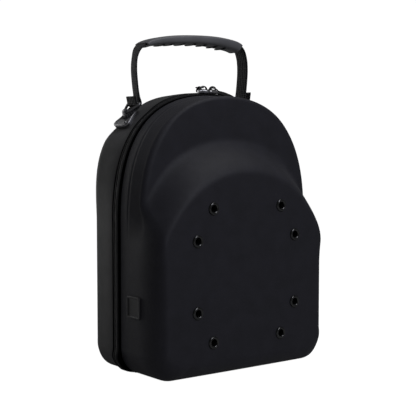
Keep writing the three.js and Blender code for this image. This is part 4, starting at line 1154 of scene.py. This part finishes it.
class CARRIER_OT_sliders(bpy.types.Operator):
    """Two zip sliders that meet at the top, with their links and rubber pulls"""
    bl_idname = "carrier.sliders"
    bl_label = "Sliders and pulls"

    def execute(self, context):
        case = millimetres(context.scene.carrier_case)
        zipper = millimetres(context.scene.carrier_zip)
        look = context.scene.carrier_finishes
        metal = finish(plated_metal, "nickel", tuple(look.nickel), 0.3)
        dark_metal = finish(plated_metal, "dark nickel", tuple(look.dark_nickel), 0.3)
        rubber = finish(satin_rubber, "pull rubber", tuple(look.pull), 0.42)
        seat = case.height + SEAT + ARCH_RISE / 2
        link_height = seat + zipper.slider_tall + 1.8
        # Turn and tilt of the link, turn and roll of the tab in degrees, and how far the tab droops
        for name, side, link_turn, tilt, tab_turn, roll, drop in (
                ("left", -1, 180, 0, 56, 0, 3.2), ("right", 1, 0, 26, 0, 64, 6.2)):
            x = SLIDER_SHIFT + side * zipper.slider_length / 2
            make_piece(f"slider_{name}", self.slider(zipper, x, side, seat), [metal, dark_metal],
                       [f"zip_slider_{name}"])
            turn, tilt, tab_turn, roll = np.radians([link_turn, tilt, tab_turn, roll])
            away = np.array([np.cos(turn) * np.cos(tilt), 0, -np.sin(tilt)])
            centre = np.array([x, 0, link_height]) + zipper.link_radius * away
            make_piece(f"link_{name}", [self.link(zipper, centre, away)], [dark_metal],
                       [f"pull_link_{name}"])
            along = np.array([np.cos(tab_turn), np.sin(tab_turn), 0])
            round_link = along[0] * np.cos(turn) * away + along[1] * np.array([0, 1, 0])
            start = centre + zipper.link_radius * round_link - [0, 0, 1.4 * np.sin(roll)]
            make_piece(f"pull_{name}", self.tab(zipper, start, along, roll, drop), [rubber],
                       [f"pull_tab_{name}"])
        return {"FINISHED"}

    def link(self, zipper, centre, away):
        """A round wire carried round a circle that lies along away and the case's depth."""
        spin = 2 * np.pi * np.arange(40)[:, None] / 40
        path = centre + zipper.link_radius * (np.cos(spin) * away + np.sin(spin) * [0, 1, 0])
        upright = np.broadcast_to(np.cross(away, [0, 1, 0]), path.shape)
        wire = carried(path, upright, unit(path - centre), disc(zipper.link_wire, 10))[1:-1]
        return skin_of(wire, loop=True)

    def slider(self, zipper, x, side, seat):
        """Body that widens to its mouth and domes on top, with an arched bridge for the link."""
        s = np.linspace(-1, 1, 25)
        length, tall = zipper.slider_length / 2 - SEAT, zipper.slider_tall
        wide = zipper.slider_width / 2 * mix(0.67, 1, ease(-s, -0.6, 0.8)) * (1 - s ** 16) ** 0.25
        high = tall * (0.8 + 0.2 * (1 - s ** 4)) * (1 - s ** 14) ** 0.25 + 0.05
        angle = 2 * np.pi * np.arange(32) / 32
        c, d = np.cos(angle), np.sin(angle)
        squared = np.stack([np.sign(c) * np.abs(c) ** 0.5,
                            (np.sign(d) * np.abs(d) ** 0.5 + 1) / 2], axis=1)
        section = squared[None] * np.stack([wide, high], axis=1)[:, None]
        middle = np.stack([x + side * length * s, 0 * s, seat + 0 * s], axis=1)
        slant = np.arctan(ARCH_RISE / (2 * RISE_HALF))
        across = np.broadcast_to([0.0, np.cos(slant), np.sin(slant)], middle.shape)
        upright = np.array([0.0, -np.sin(slant), np.cos(slant)])
        body = carried(middle, across, np.broadcast_to(upright, middle.shape), section)
        turn = np.radians(np.linspace(0, 180, 25))[:, None]
        out = -np.cos(turn) * [1, 0, 0] + np.sin(turn) * upright
        arch = np.array([x, 0, seat]) + (tall - 0.65) * upright + out * [4.3, 4.0, 4.0]
        bridge = carried(arch, across, out, rounded(2.6, 1.3, 0.45, 4))
        return [skin_of(body), skin_of(bridge)]

    def tab(self, zipper, start, along, roll, drop):
        """Rubber pull: a rounded strip that droops to its tip, with a flat eye round the link."""
        across = np.cross([0, 0, 1], along)
        lying = np.cos(roll) * across + np.sin(roll) * np.array([0, 0, 1])
        s = np.linspace(0, 1, 40)[:, None]
        reach = mix(1.6, zipper.tab_length - 2.6, s)
        middle = start + along * reach - [0, 0, 1] * (drop * s ** 1.2)
        swell = mix(0.82, 1.08, ease(s, 0.0, 0.5)) * (1 - 0.25 * ease(s, 0.85, 1))
        section = rounded(zipper.tab_width, zipper.tab_thick, 0.9, 5)[None]
        section = section * np.dstack([swell, 1 + 0 * swell])
        level = np.broadcast_to(lying, middle.shape)
        strip = carried(middle, level, np.cross(slope(middle), level), section, dome=2.4)
        spin = 2 * np.pi * np.arange(28) / 28
        path = start + 1.45 * (np.cos(spin)[:, None] * along + np.sin(spin)[:, None] * [0, 0, 1])
        flat = np.broadcast_to(across, path.shape)
        ring = carried(path, flat, unit(path - start), rounded(2.4, 0.6, 0.2, 3))[1:-1]
        return [skin_of(strip), skin_of(ring, loop=True)]


class CARRIER_OT_patch(bpy.types.Operator):
    """Bare rubber patch with a raised border on the left wall"""
    bl_idname = "carrier.patch"
    bl_label = "Side patch"

    def execute(self, context):
        case = millimetres(context.scene.carrier_case)
        # Rings shrink from the edge to the middle: the foot, the rounded border, the bare field
        inset = np.array([11.4, 0.6, 0.0, 0.0, 0.15, 0.5, 1.6, 2.0, 2.2, 3.5, 11.4])
        rise = np.array([0.0, 0.0, 0.1, 1.2, 1.5, 1.65, 1.65, 1.4, 0.85, 0.8, 0.8])
        rings = []
        for i in inset:
            edge = case.patch - 2 * i
            rings.append(rounded(edge, edge, min(max(2.2 - i, 0.1), edge / 2), 6))
        flat = np.array(rings)
        flat[0], flat[-1] = 0, 0
        lean = np.arctan(FRONT_DRAFT)
        beyond = PATCH_DEPTH - case.front_rim
        wall = -case.width / 2 + RIM_INSET + FRONT_DRAFT * beyond - FRONT_PLUMP * plump(beyond)
        towards = np.array([np.sin(lean), -np.cos(lean), 0])
        out = np.array([-np.cos(lean), -np.sin(lean), 0])
        middle = np.array([wall - SEAT / 2, -PATCH_DEPTH, PATCH_HEIGHT])
        field = flat[..., :1] * towards + flat[..., 1:] * [0, 0, 1]
        patch = skin_of(middle + field + rise[:, None, None] * out)
        rubber = finish(satin_rubber, "patch rubber", tuple(context.scene.carrier_finishes.patch), 0.45)
        make_piece("bare_patch", [patch], [rubber], ["side_patch"], crease=50)
        return {"FINISHED"}


def white_to_camera(tree, strength, studio):
    """Glow that is white in the picture and lights the case only as much as the room does."""
    ray = tree.nodes.new("ShaderNodeLightPath").outputs["Is Camera Ray"]
    level = tree.nodes.new("ShaderNodeMapRange")
    level.inputs["To Min"].default_value = studio.room_light
    level.inputs["To Max"].default_value = studio.backdrop
    tree.links.new(ray, level.inputs["Value"])
    tree.links.new(level.outputs["Result"], strength)


class CARRIER_OT_stage(bpy.types.Operator):
    """White floor that curves up to a backdrop all round, soft lights, and the camera"""
    bl_idname = "carrier.stage"
    bl_label = "Studio"

    def execute(self, context):
        studio = context.scene.carrier_studio
        self.floor(studio)
        aim = Vector((studio.aim_right, MEETING, studio.aim_height))
        for name, place, wide, tall, power, colour in (
                ("rear left strip", (-0.30, 0.80, 0.30), 0.25, 0.9, studio.side_light, (1, 1, 1)),
                ("top softbox", (0.25, -0.05, 1.3), 0.6, 0.6, studio.top_light, (1, 1, 1)),
                ("front softbox", (0.15, -1.35, 1.35), 0.8, 0.8, studio.fill_light, (0.94, 0.96, 1.06))):
            lamp = bpy.data.lights.new(name, "AREA")
            lamp.shape = "RECTANGLE"
            lamp.size, lamp.size_y = wide, tall
            lamp.energy = power
            lamp.color = colour
            box = bpy.data.objects.new(name, lamp)
            context.scene.collection.objects.link(box)
            box.location = place
            box.rotation_euler = (aim - box.location).to_track_quat("-Z", "Y").to_euler()
            box.visible_camera = False
        world = bpy.data.worlds.new("studio air")
        world.use_nodes = True
        air = world.node_tree.nodes["Background"].inputs
        air["Color"].default_value = (1, 1, 1, 1)
        white_to_camera(world.node_tree, air["Strength"], studio)
        context.scene.world = world
        context.scene.view_settings.view_transform = "Standard"
        shot = bpy.data.cameras.new("photo camera")
        shot.lens, shot.sensor_width = studio.lens, 36
        camera = bpy.data.objects.new("photo camera", shot)
        context.scene.collection.objects.link(camera)
        flat = np.cos(studio.elevation)
        away = Vector((np.sin(studio.azimuth) * flat, -np.cos(studio.azimuth) * flat,
                       np.sin(studio.elevation)))
        camera.location = aim + studio.distance * away
        camera.rotation_euler = (-away).to_track_quat("-Z", "Y").to_euler()
        context.scene.camera = camera
        return {"FINISHED"}

    def floor(self, studio):
        """Turned profile: a flat disc, a quarter round at its edge and an upright wall."""
        turn = np.radians(np.linspace(-90, 0, 12))
        radius = np.concatenate([[0, 1500, 3000], 3500 + 1000 * np.cos(turn), [4500]])
        height = np.concatenate([[0, 0, 0], 1000 + 1000 * np.sin(turn), [4000]]) - 0.2
        spin = 2 * np.pi * np.arange(72) / 72
        bowl = np.stack([radius[:, None] * np.cos(spin), radius[:, None] * np.sin(spin),
                         height[:, None] + 0 * spin], axis=2)
        r = Recipe("pale floor", Roughness=0.9)
        r.shader.inputs["Emission Color"].default_value = (1, 1, 1, 1)
        white_to_camera(r.material.node_tree, r.shader.inputs["Emission Strength"], studio)
        r.stain((0.3, 0.3, 0.3), 0.01, r.noise(3))
        piece = make_piece("studio_floor", [skin_of(bowl, poles=(True, False))], [r.material], [])


class CARRIER_PT_panel(bpy.types.Panel):
    """Sizes, colours and the steps that build the carrier"""
    bl_label = "Cap carrier"
    bl_space_type = "VIEW_3D"
    bl_region_type = "UI"
    bl_category = "Cap carrier"

    def draw(self, context):
        for step in STEPS:
            self.layout.operator(step.bl_idname)
        for name in GROUPS:
            group = getattr(context.scene, name)
            box = self.layout.box()
            for prop in type(group).__annotations__:
                box.prop(group, prop)


GROUPS = {"carrier_case": CaseSizes, "carrier_zip": ZipSizes, "carrier_handle": HandleSizes,
          "carrier_finishes": Finishes, "carrier_studio": Studio}
STEPS = (CARRIER_OT_shells, CARRIER_OT_eyelets, CARRIER_OT_zip, CARRIER_OT_handle, CARRIER_OT_rings,
         CARRIER_OT_sliders, CARRIER_OT_patch, CARRIER_OT_stage)
CLASSES = (*GROUPS.values(), *STEPS, CARRIER_PT_panel)


def register():
    """Adds the classes, and the property groups to the scene."""
    for cls in CLASSES:
        bpy.utils.register_class(cls)
    for name, group in GROUPS.items():
        setattr(bpy.types.Scene, name, PointerProperty(type=group))


def unregister():
    """Takes them away again."""
    for name in GROUPS:
        delattr(bpy.types.Scene, name)
    for cls in reversed(CLASSES):
        bpy.utils.unregister_class(cls)


def main():
    """Builds every piece in order."""
    register()
    for step in STEPS:
        space, name = step.bl_idname.split(".")
        getattr(getattr(bpy.ops, space), name)()


if __name__ == "__main__":
    main()
